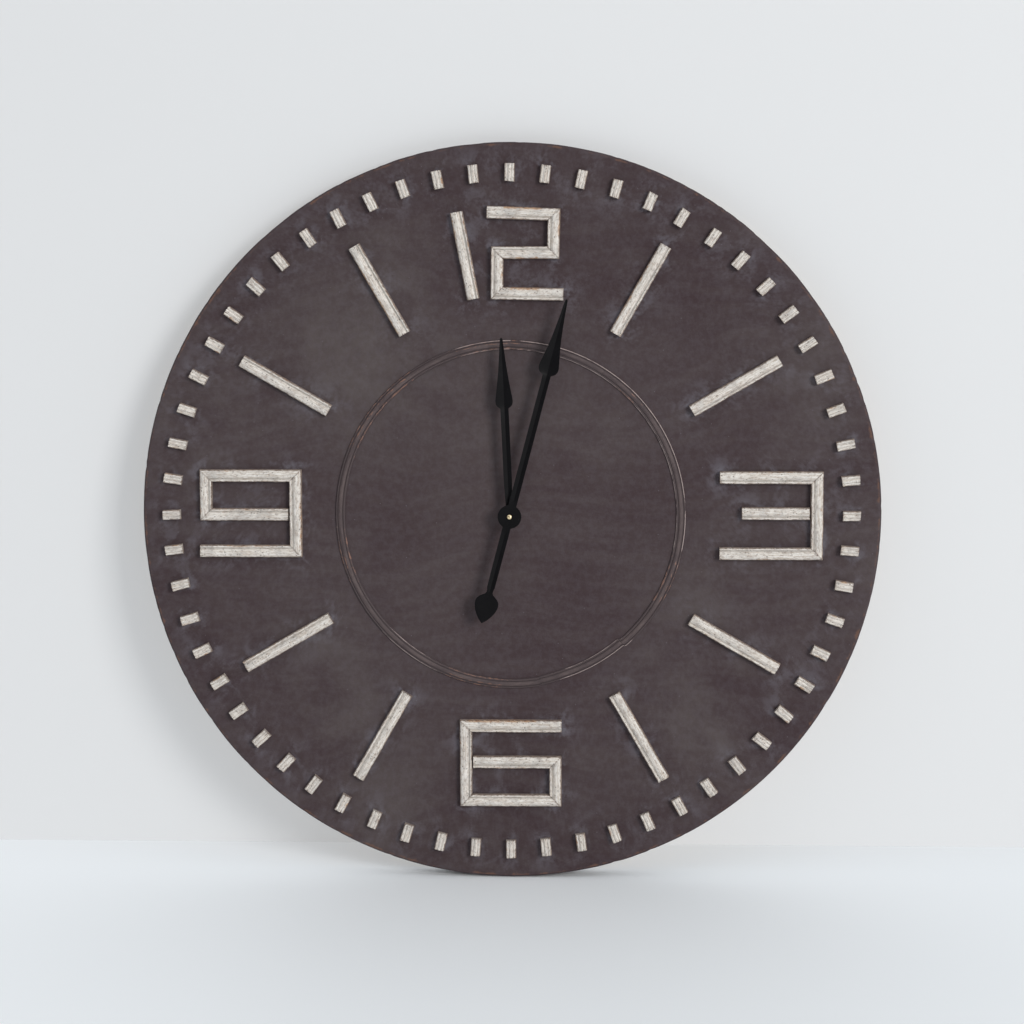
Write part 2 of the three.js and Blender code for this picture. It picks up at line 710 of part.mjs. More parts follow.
const centreAt = [0, 0];
const thirdAt = away(centreAt, THIRD_DIRECTION, pitchR(TEETH.centre + TEETH.thirdPinion, TRAIN_MODULE));
const secondsAt = away(thirdAt, SECONDS_DIRECTION, pitchR(TEETH.third + TEETH.secondsPinion, TRAIN_MODULE));
const stepAt = away(secondsAt, STEP_DIRECTION, pitchR(TEETH.seconds + TEETH.stepPinion, TRAIN_MODULE));
const rotorAt = away(stepAt, ROTOR_DIRECTION, pitchR(TEETH.step + TEETH.rotorPinion, STEP_MODULE));
const motionDistance = pitchR(TEETH.cannon + TEETH.minute, MOTION_MODULE);
const hourModule = (2 * motionDistance) / (TEETH.minutePinion + TEETH.hour);
const minuteAt = away(centreAt, MINUTE_DIRECTION, motionDistance);
const knobAt = away(minuteAt, KNOB_DIRECTION, pitchR(TEETH.minute + TEETH.knobPinion, MOTION_MODULE));

// ---- Movement case ------------------------------------------------------------------------------------

const boardRight = thirdAt[0] - tipR(TEETH.third, TRAIN_MODULE) - SIDE_ROOM;
const coreLeft = rotorAt[0] + MAGNET_R + SIDE_ROOM + STATOR_RING_W + GAP + COIL_BUILD + 2 * GAP;
const coilRight = coreLeft + CORE_W + GAP + COIL_BUILD;
const cellHalf = (CELL_L + CELL_NUB_L) / 2 + CONTACT_SPACE;
const innerHalfW = Math.max(cellHalf, SIDE_ROOM - boardRight + BOARD_W, coilRight + SIDE_ROOM);
const bayLow = -tipR(TEETH.centre, TRAIN_MODULE) - SIDE_ROOM;
const statorHigh = rotorAt[1] + COIL_L / 2 + COIL_FLANGE + GAP + STATOR_ARM;
const bayHigh = Math.max(statorHigh, secondsAt[1] + tipR(TEETH.seconds, TRAIN_MODULE)) + SIDE_ROOM + 1;
const cellBayHigh = bayLow - CASE_WALL;
const cellY = cellBayHigh - CELL_SLACK - CELL_R;
const cellBayLow = cellY - CELL_R - CELL_SLACK;
const cellZ = DECKS_TOP - CELL_SLACK - CELL_R;
const caseLow = cellBayLow - CASE_WALL;
const caseHigh = bayHigh + CASE_WALL;
const caseHalfW = innerHalfW + CASE_WALL;
const trayBack = COVER_INNER + GAP;

const WASHER_Z = ON_FACE;
const FIXING_NUT_Z = WASHER_Z + WASHER_T + GAP;
const BUSHING_END = FIXING_NUT_Z + FIXING_NUT_T + BUSHING_PROUD;
const PIPE_BORE_R = MINUTE_ARBOR_R + RUN + 0.05;
const BUSHING_BORE_R = HOUR_PIPE_R + RUN + 0.05;
const POST_R = 0.8;
const POST_END = deckZ(1, WHEEL_T) - DECK_MARGIN / 2;

function caseFront() {
  const outside = block(-caseHalfW, caseLow, trayBack, caseHalfW, caseHigh, CASE_FRONT);
  const trainBay = block(-innerHalfW, bayLow, trayBack - 1, innerHalfW, bayHigh, DECKS_TOP);
  const cellBay = block(-cellHalf, cellBayLow, trayBack - 1, cellHalf, cellBayHigh, DECKS_TOP);
  const bushing = disc(BUSHING_R, DECKS_TOP, BUSHING_END, 24);
  const bore = disc(BUSHING_BORE_R, trayBack, BUSHING_END + 1, 24);
  const post = disc(POST_R, POST_END, DECKS_TOP + PIVOT_DEPTH, 10, ...minuteAt);
  const pivots = [thirdAt, secondsAt, stepAt, rotorAt].map(([x, y]) =>
    disc(ARBOR_R + RUN, DECKS_TOP - 1, DECKS_TOP + PIVOT_DEPTH, 8, x, y));
  const tray = cut(outside, trainBay, cellBay);
  return cut(joined(tray, bushing, post), bore, ...pivots);
}
piece('movement_case_front', caseFront(), CASE_PLASTIC);

function caseCover() {
  const plate = block(-caseHalfW, bayLow - CASE_WALL, COVER_BACK, caseHalfW, caseHigh, COVER_INNER);
  const pivots = [thirdAt, secondsAt, stepAt, rotorAt].map(([x, y]) =>
    disc(ARBOR_R + RUN, COVER_INNER - PIVOT_DEPTH, COVER_INNER + 1, 8, x, y));
  const centrePivot = disc(MINUTE_ARBOR_R + RUN, COVER_INNER - PIVOT_DEPTH, COVER_INNER + 1, 16);
  const knobHole = disc(KNOB_SHAFT_R + 2 * RUN, COVER_BACK - 1, COVER_INNER + 1, 12, ...knobAt);
  return cut(plate, ...pivots, centrePivot, knobHole);
}
piece('movement_case_cover', caseCover(), CASE_PLASTIC);

piece('dial_washer', turned([
  [BUSHING_R + GAP, 0],
  [WASHER_R, 0],
  [WASHER_R, WASHER_T],
  [BUSHING_R + GAP, WASHER_T],
  [BUSHING_R + GAP, 0],
], 20), BRASS, 0, 0, WASHER_Z);

function fixingNut() {
  const hexagon = disc(FIXING_NUT_R, 0, FIXING_NUT_T, 6);
  return cut(hexagon, disc(BUSHING_R + GAP, -1, FIXING_NUT_T + 1, 24));
}
piece('fixing_nut', fixingNut(), BRASS, 0, 0, FIXING_NUT_Z);

// ---- Wheels -------------------------------------------------------------------------------------------

const PINION_T = DECK - 2 * DECK_MARGIN;
const arborLow = COVER_INNER - PIVOT_DEPTH + GAP;
const arborHigh = DECKS_TOP + PIVOT_DEPTH - GAP;
const wheel = (teeth, module, deck, phase) => gear(teeth, module, WHEEL_T, deckZ(deck, WHEEL_T), phase);
const pinion = (teeth, module, deck, phase) => gear(teeth, module, PINION_T, deckZ(deck, PINION_T), phase);

// Two gears in neighbouring layers on a thin arbor
function train(name, at, pinionGear, wheelGear) {
  const arbor = disc(ARBOR_R, arborLow, arborHigh, 8);
  const collar = disc(2 * ARBOR_R - 0.15, arborLow + 2, arborHigh - 2, 8);
  piece(name, joined(pinionGear, wheelGear, collar, arbor), GEAR_PLASTIC, ...at, 0);
}

// Centre wheel, cannon pinion, and the long arbor that carries the minute hand
const stubLow = HAND_NUT_Z - GAP;
const stubHigh = HAND_NUT_Z + HAND_NUT_T * 0.75 - GAP;
piece('centre_wheel', joined(
  wheel(TEETH.centre, TRAIN_MODULE, 2, 0),
  pinion(TEETH.cannon, MOTION_MODULE, 1, 0),
  disc(MINUTE_ARBOR_R, arborLow, stubLow, 16),
  disc(MINUTE_ARBOR_R + 0.4, deckZ(2, WHEEL_T), deckZ(1, PINION_T) + 0.5, 16),
  disc(STUB_R, stubLow - 1, stubHigh, 12),
), GEAR_PLASTIC);

const minutePhase = meshPhase(TEETH.cannon, 0, MINUTE_DIRECTION, TEETH.minute);
const hourPhase = 0;
const minutePinionPhase = meshPhase(TEETH.hour, hourPhase, MINUTE_DIRECTION, TEETH.minutePinion);
const knobPhase = meshPhase(TEETH.minute, minutePhase, KNOB_DIRECTION, TEETH.knobPinion);
const thirdPinionPhase = meshPhase(TEETH.centre, 0, THIRD_DIRECTION, TEETH.thirdPinion);
const secondsPinionPhase = meshPhase(TEETH.third, 0, SECONDS_DIRECTION, TEETH.secondsPinion);
const stepPinionPhase = meshPhase(TEETH.seconds, 0, STEP_DIRECTION, TEETH.stepPinion);
const rotorPinionPhase = meshPhase(TEETH.step, 0, ROTOR_DIRECTION, TEETH.rotorPinion);

// Hour wheel with the pipe that carries the hour hand
function hourWheel() {
  const low = deckZ(0, WHEEL_T);
  const pipe = disc(HOUR_PIPE_R, low, HOUR_HAND_Z + HAND_T, 24);
  const teeth = wheel(TEETH.hour, hourModule, 0, hourPhase);
  return cut(joined(teeth, pipe), disc(PIPE_BORE_R, low - 1, HOUR_HAND_Z + HAND_T + 1, 24));
}
piece('hour_wheel', hourWheel(), GEAR_PLASTIC);

function minuteWheel() {
  const teeth = joined(
    wheel(TEETH.minute, MOTION_MODULE, 1, minutePhase),
    pinion(TEETH.minutePinion, hourModule, 0, minutePinionPhase),
    disc(POST_R + 0.5, deckZ(1, WHEEL_T), deckZ(0, PINION_T) + 0.3, 12),
  );
  return cut(teeth, disc(POST_R + RUN, POST_END - 1, DECKS_TOP, 12));
}
piece('minute_wheel', minuteWheel(), GEAR_PLASTIC, ...minuteAt, 0);

train('third_wheel', thirdAt,
  pinion(TEETH.thirdPinion, TRAIN_MODULE, 2, thirdPinionPhase), wheel(TEETH.third, TRAIN_MODULE, 3, 0));
train('seconds_wheel', secondsAt,
  pinion(TEETH.secondsPinion, TRAIN_MODULE, 3, secondsPinionPhase), wheel(TEETH.seconds, TRAIN_MODULE, 4, 0));
train('intermediate_wheel', stepAt,
  pinion(TEETH.stepPinion, TRAIN_MODULE, 4, stepPinionPhase), wheel(TEETH.step, STEP_MODULE, 5, 0));
train('rotor', rotorAt,
  pinion(TEETH.rotorPinion, STEP_MODULE, 5, rotorPinionPhase),
  disc(MAGNET_R, deckZ(MOTOR_DECK, MAGNET_T), deckZ(MOTOR_DECK, MAGNET_T) + MAGNET_T, 20));

function settingKnob() {
  const shaft = disc(KNOB_SHAFT_R, COVER_BACK - GAP - KNOB_T / 2, deckZ(1, PINION_T) + 0.5, 12);
  const pinionGear = pinion(TEETH.knobPinion, MOTION_MODULE, 1, knobPhase);
  const grip = gear(KNOB_RIDGES, (2 * KNOB_R) / (KNOB_RIDGES + 2), KNOB_T, COVER_BACK - GAP - KNOB_T, 0);
  return joined(shaft, pinionGear, grip);
}
piece('setting_knob', settingKnob(), GEAR_PLASTIC, ...knobAt, 0);

// ---- Motor, circuit and battery -----------------------------------------------------------------------

const windowLeft = rotorAt[0] + MAGNET_R + SIDE_ROOM + STATOR_RING_W;
const windowHalf = COIL_L / 2 + COIL_FLANGE + GAP;
const statorLeft = rotorAt[0] - MAGNET_R - SIDE_ROOM - STATOR_RING_W;

function stator() {
  const low = rotorAt[1] - windowHalf - STATOR_ARM;
  const outline = polygon([
    [statorLeft, low],
    [coreLeft + CORE_W, low],
    [coreLeft + CORE_W, statorHigh],
    [statorLeft, statorHigh],
  ]);
  const gap = new THREE.Path();
  gap.absarc(rotorAt[0], rotorAt[1], MAGNET_R + SIDE_ROOM, 0, TURN, true);
  const opening = new THREE.Path();
  opening.moveTo(windowLeft, rotorAt[1] - windowHalf);
  opening.lineTo(windowLeft, rotorAt[1] + windowHalf);
  opening.lineTo(coreLeft, rotorAt[1] + windowHalf);
  opening.lineTo(coreLeft, rotorAt[1] - windowHalf);
  opening.closePath();
  outline.holes.push(gap, opening);
  return extrude(outline, STATOR_T, 10).translate(0, 0, deckZ(MOTOR_DECK, STATOR_T));
}
piece('stator', stator(), STEEL);

// Winding on a former round the core of the stator, with a flange at each end
function coil() {
  const middleZ = deckZ(MOTOR_DECK, STATOR_T) + STATOR_T / 2;
  const low = rotorAt[1] - COIL_L / 2;
  const high = rotorAt[1] + COIL_L / 2;
  const left = coreLeft - GAP;
  const right = coreLeft + CORE_W + GAP;
  const halfT = STATOR_T / 2 + GAP;
  const around = (build, y0, y1) =>
    block(left - build, y0, middleZ - halfT - build, right + build, y1, middleZ + halfT + build);
  const winding = around(COIL_BUILD - FLANGE_PROUD, low, high);
  const flange = (y) => around(COIL_BUILD, y, y + COIL_FLANGE);
  const core = block(left, low - 5, middleZ - halfT, right, high + 5, middleZ + halfT);
  return cut(joined(winding, flange(low - COIL_FLANGE), flange(high)), core);
}
piece('coil', coil(), COPPER);

function circuitBoard() {
  const left = boardRight - BOARD_W;
  const low = bayLow + SIDE_ROOM;
  const z = COVER_INNER + BACK_MARGIN;
  const board = block(left, low, z, boardRight, low + BOARD_L, z + BOARD_T);
  const inside = z + BOARD_T / 2; // the components start inside the board
  const top = z + BOARD_T;
  const chip = disc(CHIP_R, inside, top + CHIP_H, 12, left + BOARD_W / 2, low + BOARD_L * 0.6);
  const crystalLeft = left + CRYSTAL_INSET;
  const crystalLow = low + CRYSTAL_LOW;
  const crystal = block(
    crystalLeft, crystalLow, inside, crystalLeft + CRYSTAL_W, crystalLow + CRYSTAL_L, top + CRYSTAL_H);
  return joined(board, chip, crystal);
}
piece('circuit_board', circuitBoard(), CIRCUIT);

function cell() {
  const chamfer = 0.6;
  const shape = turned([
    [0, 0],
    [CELL_R - chamfer, 0],
    [CELL_R, chamfer],
    [CELL_R, CELL_L - chamfer],
    [CELL_R - chamfer, CELL_L],
    [CELL_NUB_R, CELL_L],
    [CELL_NUB_R, CELL_L + CELL_NUB_L],
    [0, CELL_L + CELL_NUB_L],
  ], 20);
  return shape.rotateY(Math.PI / 2).translate(-(CELL_L + CELL_NUB_L) / 2, cellY, cellZ);
}
piece('battery_cell', cell(), CELL);

// Strip of spring metal bent along a line of points in x and y, standing in the battery bay
function contact(points) {
  const outline = points.concat(points.slice().reverse().map(([x, y]) => [x + CONTACT_T, y]));
  return extrude(polygon(outline.reverse()), CONTACT_W).translate(0, 0, cellZ - CONTACT_W / 2);
}
const contactLow = cellY - CELL_R + CONTACT_TOE;
const contactHigh = cellY + CELL_R - CONTACT_TOE;
const positiveX = cellHalf - GAP - CONTACT_T;
piece('battery_contact_positive', contact([
  [positiveX, contactLow],
  [positiveX, contactHigh],
]), STEEL);
const negativeX = -cellHalf + GAP;
const bow = -(CELL_L + CELL_NUB_L) / 2 - GAP - CONTACT_T;
piece('battery_contact_negative', contact([
  [negativeX, contactLow],
  [negativeX, cellY - CONTACT_BOW_FOOT],
  [bow, cellY - CONTACT_BOW],
  [bow, cellY + CONTACT_BOW],
  [negativeX, cellY + CONTACT_BOW_FOOT],
  [negativeX, contactHigh],
]), STEEL);

// ---- Upright, with the hanging point at the origin ----------------------------------------------------

clock.rotation.x = Math.PI / 2;
clock.position.set(0, 0, -HANG_Y);
const wallClock = new THREE.Group();
wallClock.add(clock);

export default wallClock;
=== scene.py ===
# %% [markdown]
# # A large round wall clock, built as its maker would build it
# The clock is a painted wooden disc a metre across. Strips of moulding are glued on it for the numerals
# and the hours, sixty short slices of moulding mark the minutes, and a thin bead runs round the middle.
# A battery movement behind the face turns two folded sheet-metal hands. Each step below makes one kind
# of piece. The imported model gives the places, and every new piece rides on one of its bodies.

# %% Load the frame
import math
import random

import bmesh
import bpy
import numpy as np
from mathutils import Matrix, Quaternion, Vector, noise


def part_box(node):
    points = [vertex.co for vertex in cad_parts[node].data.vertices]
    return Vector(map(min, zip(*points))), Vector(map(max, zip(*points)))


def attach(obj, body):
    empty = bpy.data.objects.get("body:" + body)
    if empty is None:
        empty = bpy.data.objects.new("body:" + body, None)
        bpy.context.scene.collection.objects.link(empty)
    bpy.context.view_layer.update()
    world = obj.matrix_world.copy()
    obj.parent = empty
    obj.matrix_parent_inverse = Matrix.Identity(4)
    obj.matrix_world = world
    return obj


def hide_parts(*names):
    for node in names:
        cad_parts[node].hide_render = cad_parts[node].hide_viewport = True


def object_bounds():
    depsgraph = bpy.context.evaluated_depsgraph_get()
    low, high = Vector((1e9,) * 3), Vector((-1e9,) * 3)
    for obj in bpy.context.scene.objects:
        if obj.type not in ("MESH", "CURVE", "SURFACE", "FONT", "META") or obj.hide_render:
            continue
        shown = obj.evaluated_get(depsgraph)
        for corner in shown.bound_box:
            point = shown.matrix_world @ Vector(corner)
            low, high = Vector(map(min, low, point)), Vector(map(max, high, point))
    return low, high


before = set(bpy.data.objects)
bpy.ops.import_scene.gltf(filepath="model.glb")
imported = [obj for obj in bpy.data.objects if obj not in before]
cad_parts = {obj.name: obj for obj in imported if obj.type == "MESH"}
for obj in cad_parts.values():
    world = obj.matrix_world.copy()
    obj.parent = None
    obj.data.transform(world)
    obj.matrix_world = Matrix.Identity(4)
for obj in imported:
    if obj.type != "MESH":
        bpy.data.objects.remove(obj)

MM = 0.001
cad_low, cad_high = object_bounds()
print("CAD box", [round(v, 4) for v in (*cad_low, *cad_high)])

# %% [markdown]
# ## Where the face lies
# The panel's box gives the middle of the dial, and the backs of the hour bars give the plane of the face.
# Everything on the face can then be placed by a clockwise angle from 12, a radius and a height, which is
# how a clock maker marks out a dial.

# %% Marking out the dial
panel_low, panel_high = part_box("dial_panel")
MIDDLE_X = (panel_low.x + panel_high.x) / 2
MIDDLE_Z = (panel_low.z + panel_high.z) / 2
DIAL_R = (panel_high.x - panel_low.x) / 2
GLUE_GAP = 0.3 * MM
FACE_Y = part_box("hour_bar_1")[1].y + GLUE_GAP
STRIP_TOP = FACE_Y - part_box("hour_bar_1")[0].y


def on_dial(degrees, radius, height=0.0):
    """A point at a clockwise angle from 12, a radius and a height above the face."""
    a = math.radians(degrees)
    return Vector((MIDDLE_X + radius * math.sin(a), FACE_Y - height, MIDDLE_Z + radius * math.cos(a)))


def solid_points(node):
    """The corner points of a CAD solid."""
    return [v.co.copy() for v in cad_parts[node].data.vertices]


def radius_of(point):
    return math.hypot(point.x - MIDDLE_X, point.z - MIDDLE_Z)


def angle_of(point):
    return math.degrees(math.atan2(point.x - MIDDLE_X, point.z - MIDDLE_Z)) % 360


print("dial radius", round(DIAL_R, 4), "face at", round(FACE_Y, 4), "strips stand", round(STRIP_TOP, 4))

# %% [markdown]
# ## Small tools for meshes
# Most pieces of a clock like this are either drawn along a line, as a moulding is, or turned on a lathe.
# Both are skins over rings of points, so one function makes the skin. It also stores marks on the points,
# such as how close a point is to a worn edge, which the paint reads later. Marks stay with the mesh when
# it moves, so the wear never slides over the wood.

# %% Skins over rings of points
def finished(name, made, marks=None, sharp_degrees=32):
    """Turns a bmesh into a shaded object, with marks stored on its points."""
    bmesh.ops.recalc_face_normals(made, faces=made.faces)
    mesh = bpy.data.meshes.new(name)
    made.to_mesh(mesh)
    made.free()
    mesh.polygons.foreach_set("use_smooth", [True] * len(mesh.polygons))
    mesh.set_sharp_from_angle(angle=math.radians(sharp_degrees))
    for mark, values in (marks or {}).items():
        kind = "FLOAT_VECTOR" if len(np.shape(values)) > 1 else "FLOAT"
        stored = mesh.attributes.new(mark, kind, "POINT")
        field = "vector" if kind == "FLOAT_VECTOR" else "value"
        stored.data.foreach_set(field, np.ravel(values).astype(np.float32))
    piece = bpy.data.objects.new(name, mesh)
    bpy.context.scene.collection.objects.link(piece)
    return piece


def skin(name, rings, marks=None, round_trip=False, sharp_degrees=32):
    """A closed skin over rings that all have the same number of points."""
    made = bmesh.new()
    rows = [[made.verts.new(point) for point in ring] for ring in rings]
    pairs = list(zip(rows, rows[1:]))
    if round_trip:
        pairs.append((rows[-1], rows[0]))
    for here, there in pairs:
        for i in range(len(here)):
            j = (i + 1) % len(here)
            made.faces.new((here[i], here[j], there[j], there[i]))
    if not round_trip:
        made.faces.new(rows[0])
        made.faces.new(rows[-1])
    return finished(name, made, marks, sharp_degrees)


def turned(name, profile, steps, middle):
    """A piece turned about an axis along Y through middle. The profile is a loop of (radius, y)."""
    rings = []
    for i in range(steps):
        a = math.tau * i / steps
        rings.append([middle + Vector((r * math.cos(a), y, r * math.sin(a))) for r, y in profile])
    return skin(name, rings, round_trip=True)


def fit(piece, body, finish, slot, *nodes):
    """Paints a piece, lets it ride on a body, and hides the CAD nodes it stands for."""
    piece.data.materials.clear()
    piece.data.materials.append(finish)
    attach(piece, body)
    if nodes:
        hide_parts(*nodes)
    return piece


def ripple(*place):
    """Smooth noise between -1 and 1, the same on every run."""
    return noise.noise(Vector((tuple(place) + (0.37, 0.71))[:3]))


# %% [markdown]
# ## Small tools for finishes
# A finish is a tree of shader nodes. Writing out every link hides the idea, so a few short functions add
# one node each and return its output: a cloud of noise, a soft step, a mix of two colours. The patterns
# that several finishes share become node groups with named sockets, built once. The groups give only
# masks, and the shader itself stays in each material.

# %% One node at a time
def add(tree, kind, feeds=None, **settings):
    """Adds a node, with its settings and with values or links on its inputs."""
    node = tree.nodes.new(kind)
    for key, value in settings.items():
        setattr(node, key, value)
    for key, value in (feeds or {}).items():
        if isinstance(value, bpy.types.NodeSocket):
            tree.links.new(value, node.inputs[key])
        else:
            node.inputs[key].default_value = value
    return node


def figure(tree, how, a, b=0.0, clamp=False):
    return add(tree, "ShaderNodeMath", {0: a, 1: b}, operation=how, use_clamp=clamp).outputs[0]


def soft_step(tree, value, low, high, start=0.0, end=1.0):
    feeds = {"Value": value, "From Min": low, "From Max": high, "To Min": start, "To Max": end}
    return add(tree, "ShaderNodeMapRange", feeds, interpolation_type="SMOOTHSTEP").outputs[0]


def cloud(tree, place, scale, detail=3.0, rough=0.5, twist=0.0):
    feeds = {"Vector": place, "Scale": scale, "Detail": detail, "Roughness": rough, "Distortion": twist}
    return add(tree, "ShaderNodeTexNoise", feeds).outputs[0]


def stretched(tree, place, scale, turn=(0.0, 0.0, 0.0)):
    return add(tree, "ShaderNodeMapping", {"Vector": place, "Scale": scale, "Rotation": turn}).outputs[0]


def mixed(tree, share, first, second):
    return add(tree, "ShaderNodeMix", {0: share, 6: first, 7: second}, data_type="RGBA").outputs[2]


def glazed(tree, base, mask, strength, tone):
    """Lays a tone over the base where the mask is, no thicker than the strength."""
    return mixed(tree, figure(tree, "MULTIPLY", mask, strength), base, tone)


def own_place(tree):
    """Coordinates fixed to the piece, in metres."""
    return add(tree, "ShaderNodeTexCoord").outputs["Object"]


def mark(tree, name, output="Fac"):
    return add(tree, "ShaderNodeAttribute", attribute_name=name).outputs[output]


def colour(r, g, b):
    return (r, g, b, 1.0)


def new_group(name, inputs, outputs):
    """A node group that takes a place and named numbers; returns it, its inputs and its outputs."""
    group = bpy.data.node_groups.new(name, "ShaderNodeTree")
    group.interface.new_socket("Place", in_out="INPUT", socket_type="NodeSocketVector")
    for label, value in inputs.items():
        socket = group.interface.new_socket(label, in_out="INPUT", socket_type="NodeSocketFloat")
        socket.default_value = value
    for label in outputs:
        group.interface.new_socket(label, in_out="OUTPUT", socket_type="NodeSocketFloat")
    return group, group.nodes.new("NodeGroupInput").outputs, group.nodes.new("NodeGroupOutput").inputs


def placed_group(tree, group, **feeds):
    node = add(tree, "ShaderNodeGroup", node_tree=group)
    for key, value in feeds.items():
        label = key.replace("_", " ")
        if isinstance(value, bpy.types.NodeSocket):
            tree.links.new(value, node.inputs[label])
        else:
            node.inputs[label].default_value = value
    return node.outputs


def new_finish(name, base, rough, metallic=0.0, bump=None, depth=0.2, **plain):
    """Ends a finish: the caller passes functions that draw its base colour, roughness and bump height."""
    material = bpy.data.materials.new(name)
    material.use_nodes = True
    tree = material.node_tree
    shader = tree.nodes["Principled BSDF"]
    shader.inputs["Metallic"].default_value = metallic
    for key, value in plain.items():
        shader.inputs[key.replace("_", " ")].default_value = value
    tree.links.new(base(tree), shader.inputs["Base Color"])
    if callable(rough):
        tree.links.new(rough(tree), shader.inputs["Roughness"])
    else:
        shader.inputs["Roughness"].default_value = rough
    if bump:
        feeds = {"Height": bump(tree), "Distance": depth * MM, "Strength": 1.0}
        tree.links.new(add(tree, "ShaderNodeBump", feeds).outputs[0], shader.inputs["Normal"])
    print("finish:", name, "in", len(tree.nodes), "nodes")
    return material


# %% Shared patterns as node groups
def make_cloudy():
    """Large and small clouds of paint rubbed thin, 0 to 1."""
    inputs = {"Scale": 4.0, "Low": 0.45, "High": 0.7}
    group, given, result = new_group("cloudy rub", inputs, ["Mask"])
    large = cloud(group, given["Place"], given["Scale"], 4.0, 0.55, 0.6)
    small_scale = figure(group, "MULTIPLY", given["Scale"], 6.3)
    small = cloud(group, given["Place"], small_scale, 5.0, 0.65)
    large_part = figure(group, "MULTIPLY", large, 0.72)
    both = figure(group, "ADD", large_part, figure(group, "MULTIPLY", small, 0.28))
    group.links.new(soft_step(group, both, given["Low"], given["High"]), result["Mask"])
    return group


def make_rubbed_through():
    """Where an edge has lost its paint: a mark of how exposed a place is, broken up by noise."""
    inputs = {"Exposed": 0.0, "Scale": 120.0, "Grip": 0.5}
    group, given, result = new_group("rubbed through", inputs, ["Mask"])
    broken = cloud(group, given["Place"], given["Scale"], 5.0, 0.7, 0.3)
    reach = figure(group, "SUBTRACT", figure(group, "ADD", given["Exposed"], broken), given["Grip"])
    group.links.new(soft_step(group, reach, 0.42, 0.58), result["Mask"])
    return group


def make_pinholes():
    """Small dark pits, only in some of the cells of a pattern."""
    inputs = {"Scale": 300.0, "Size": 0.2, "Share": 0.3}
    group, given, result = new_group("pinholes", inputs, ["Mask"])
    cells = add(group, "ShaderNodeTexVoronoi", {"Vector": given["Place"], "Scale": given["Scale"]})
    lot = add(group, "ShaderNodeSeparateColor", {0: cells.outputs["Color"]}).outputs[0]
    chosen = figure(group, "LESS_THAN", lot, given["Share"])
    core = figure(group, "MULTIPLY", given["Size"], 0.5)
    inside = soft_step(group, cells.outputs["Distance"], core, given["Size"], 1.0, 0.0)
    group.links.new(figure(group, "MULTIPLY", chosen, inside), result["Mask"])
    return group


def make_grain():
    """Wood grain along X of the place it is given: broad bands and fine pores."""
    group, given, result = new_group("wood grain", {"Scale": 1.0}, ["Bands", "Pores"])
    along = stretched(group, given["Place"], (6.0, 60.0, 60.0))
    feeds = {0: along, "Scale": given["Scale"]}
    scaled = add(group, "ShaderNodeVectorMath", feeds, operation="SCALE").outputs[0]
    wavy = cloud(group, scaled, 1.0, 3.0, 0.5, 1.2)
    bands = figure(group, "PINGPONG", figure(group, "MULTIPLY", wavy, 6.0), 1.0)
    fine = stretched(group, given["Place"], (60.0, 1500.0, 1500.0))
    group.links.new(bands, result["Bands"])
    group.links.new(soft_step(group, cloud(group, fine, 1.0, 2.0, 0.6), 0.5, 0.75), result["Pores"])
    return group


CLOUDY = make_cloudy()
RUBBED_THROUGH = make_rubbed_through()
PINHOLES = make_pinholes()
GRAIN = make_grain()
print("shared patterns:", [g.name for g in bpy.data.node_groups])


def clouded(tree, place, scale, low, high):
    return placed_group(tree, CLOUDY, Place=place, Scale=scale, Low=low, High=high)["Mask"]


def rubbed_off(tree, place, exposed, scale, grip):
    return placed_group(tree, RUBBED_THROUGH, Place=place, Exposed=exposed, Scale=scale, Grip=grip)["Mask"]


def pricked(tree, place, scale, size, share):
    return placed_group(tree, PINHOLES, Place=place, Scale=scale, Size=size, Share=share)["Mask"]


# %% [markdown]
# ## Camera, floor, wall and light
# The clock leans back by six degrees with its foot on the floor and its top against a wall. The model
# stays upright in its own frame, so the floor and the wall are what is tilted here. The wall shows from
# the front only and blocks no light, so that the back of the clock can be looked at as well.
# One large soft light stands to the right and a little above, as a window does, and the pale room fills
# in the rest.

# %% Camera
CAMERA_FROM_MIDDLE = Vector((0.1373, -3.2545, 0.3472))
AIM_FROM_MIDDLE = Vector((0.0024, 0.0, 0.0041))
CAMERA_ROLL = math.radians(-0.13)
LENS_MM = 85.1

face_middle = on_dial(0, 0)
camera_data = bpy.data.cameras.new("camera")
camera = bpy.data.objects.new("camera", camera_data)
bpy.context.scene.collection.objects.link(camera)
camera_data.sensor_width = 36.0
camera_data.lens = LENS_MM
camera.location = face_middle + CAMERA_FROM_MIDDLE
looking = AIM_FROM_MIDDLE - CAMERA_FROM_MIDDLE
camera.rotation_mode = "QUATERNION"
camera.rotation_quaternion = looking.to_track_quat("-Z", "Y") @ Quaternion((0, 0, 1), CAMERA_ROLL)
bpy.context.scene.camera = camera
print("camera", round(looking.length, 3), "m from the face")

# %% Floor and wall
LEAN = math.radians(6)
up = Vector((0, -math.sin(LEAN), math.cos(LEAN)))
out_of_wall = Vector((0, -math.cos(LEAN), -math.sin(LEAN)))
floor_height = min(up.dot(on_dial(180, DIAL_R, h)) for h in (0, FACE_Y - panel_high.y))
wall_depth = out_of_wall.dot(Vector((0, 0, cad_high.z - 2 * MM)))
foot = up * floor_height + out_of_wall * wall_depth


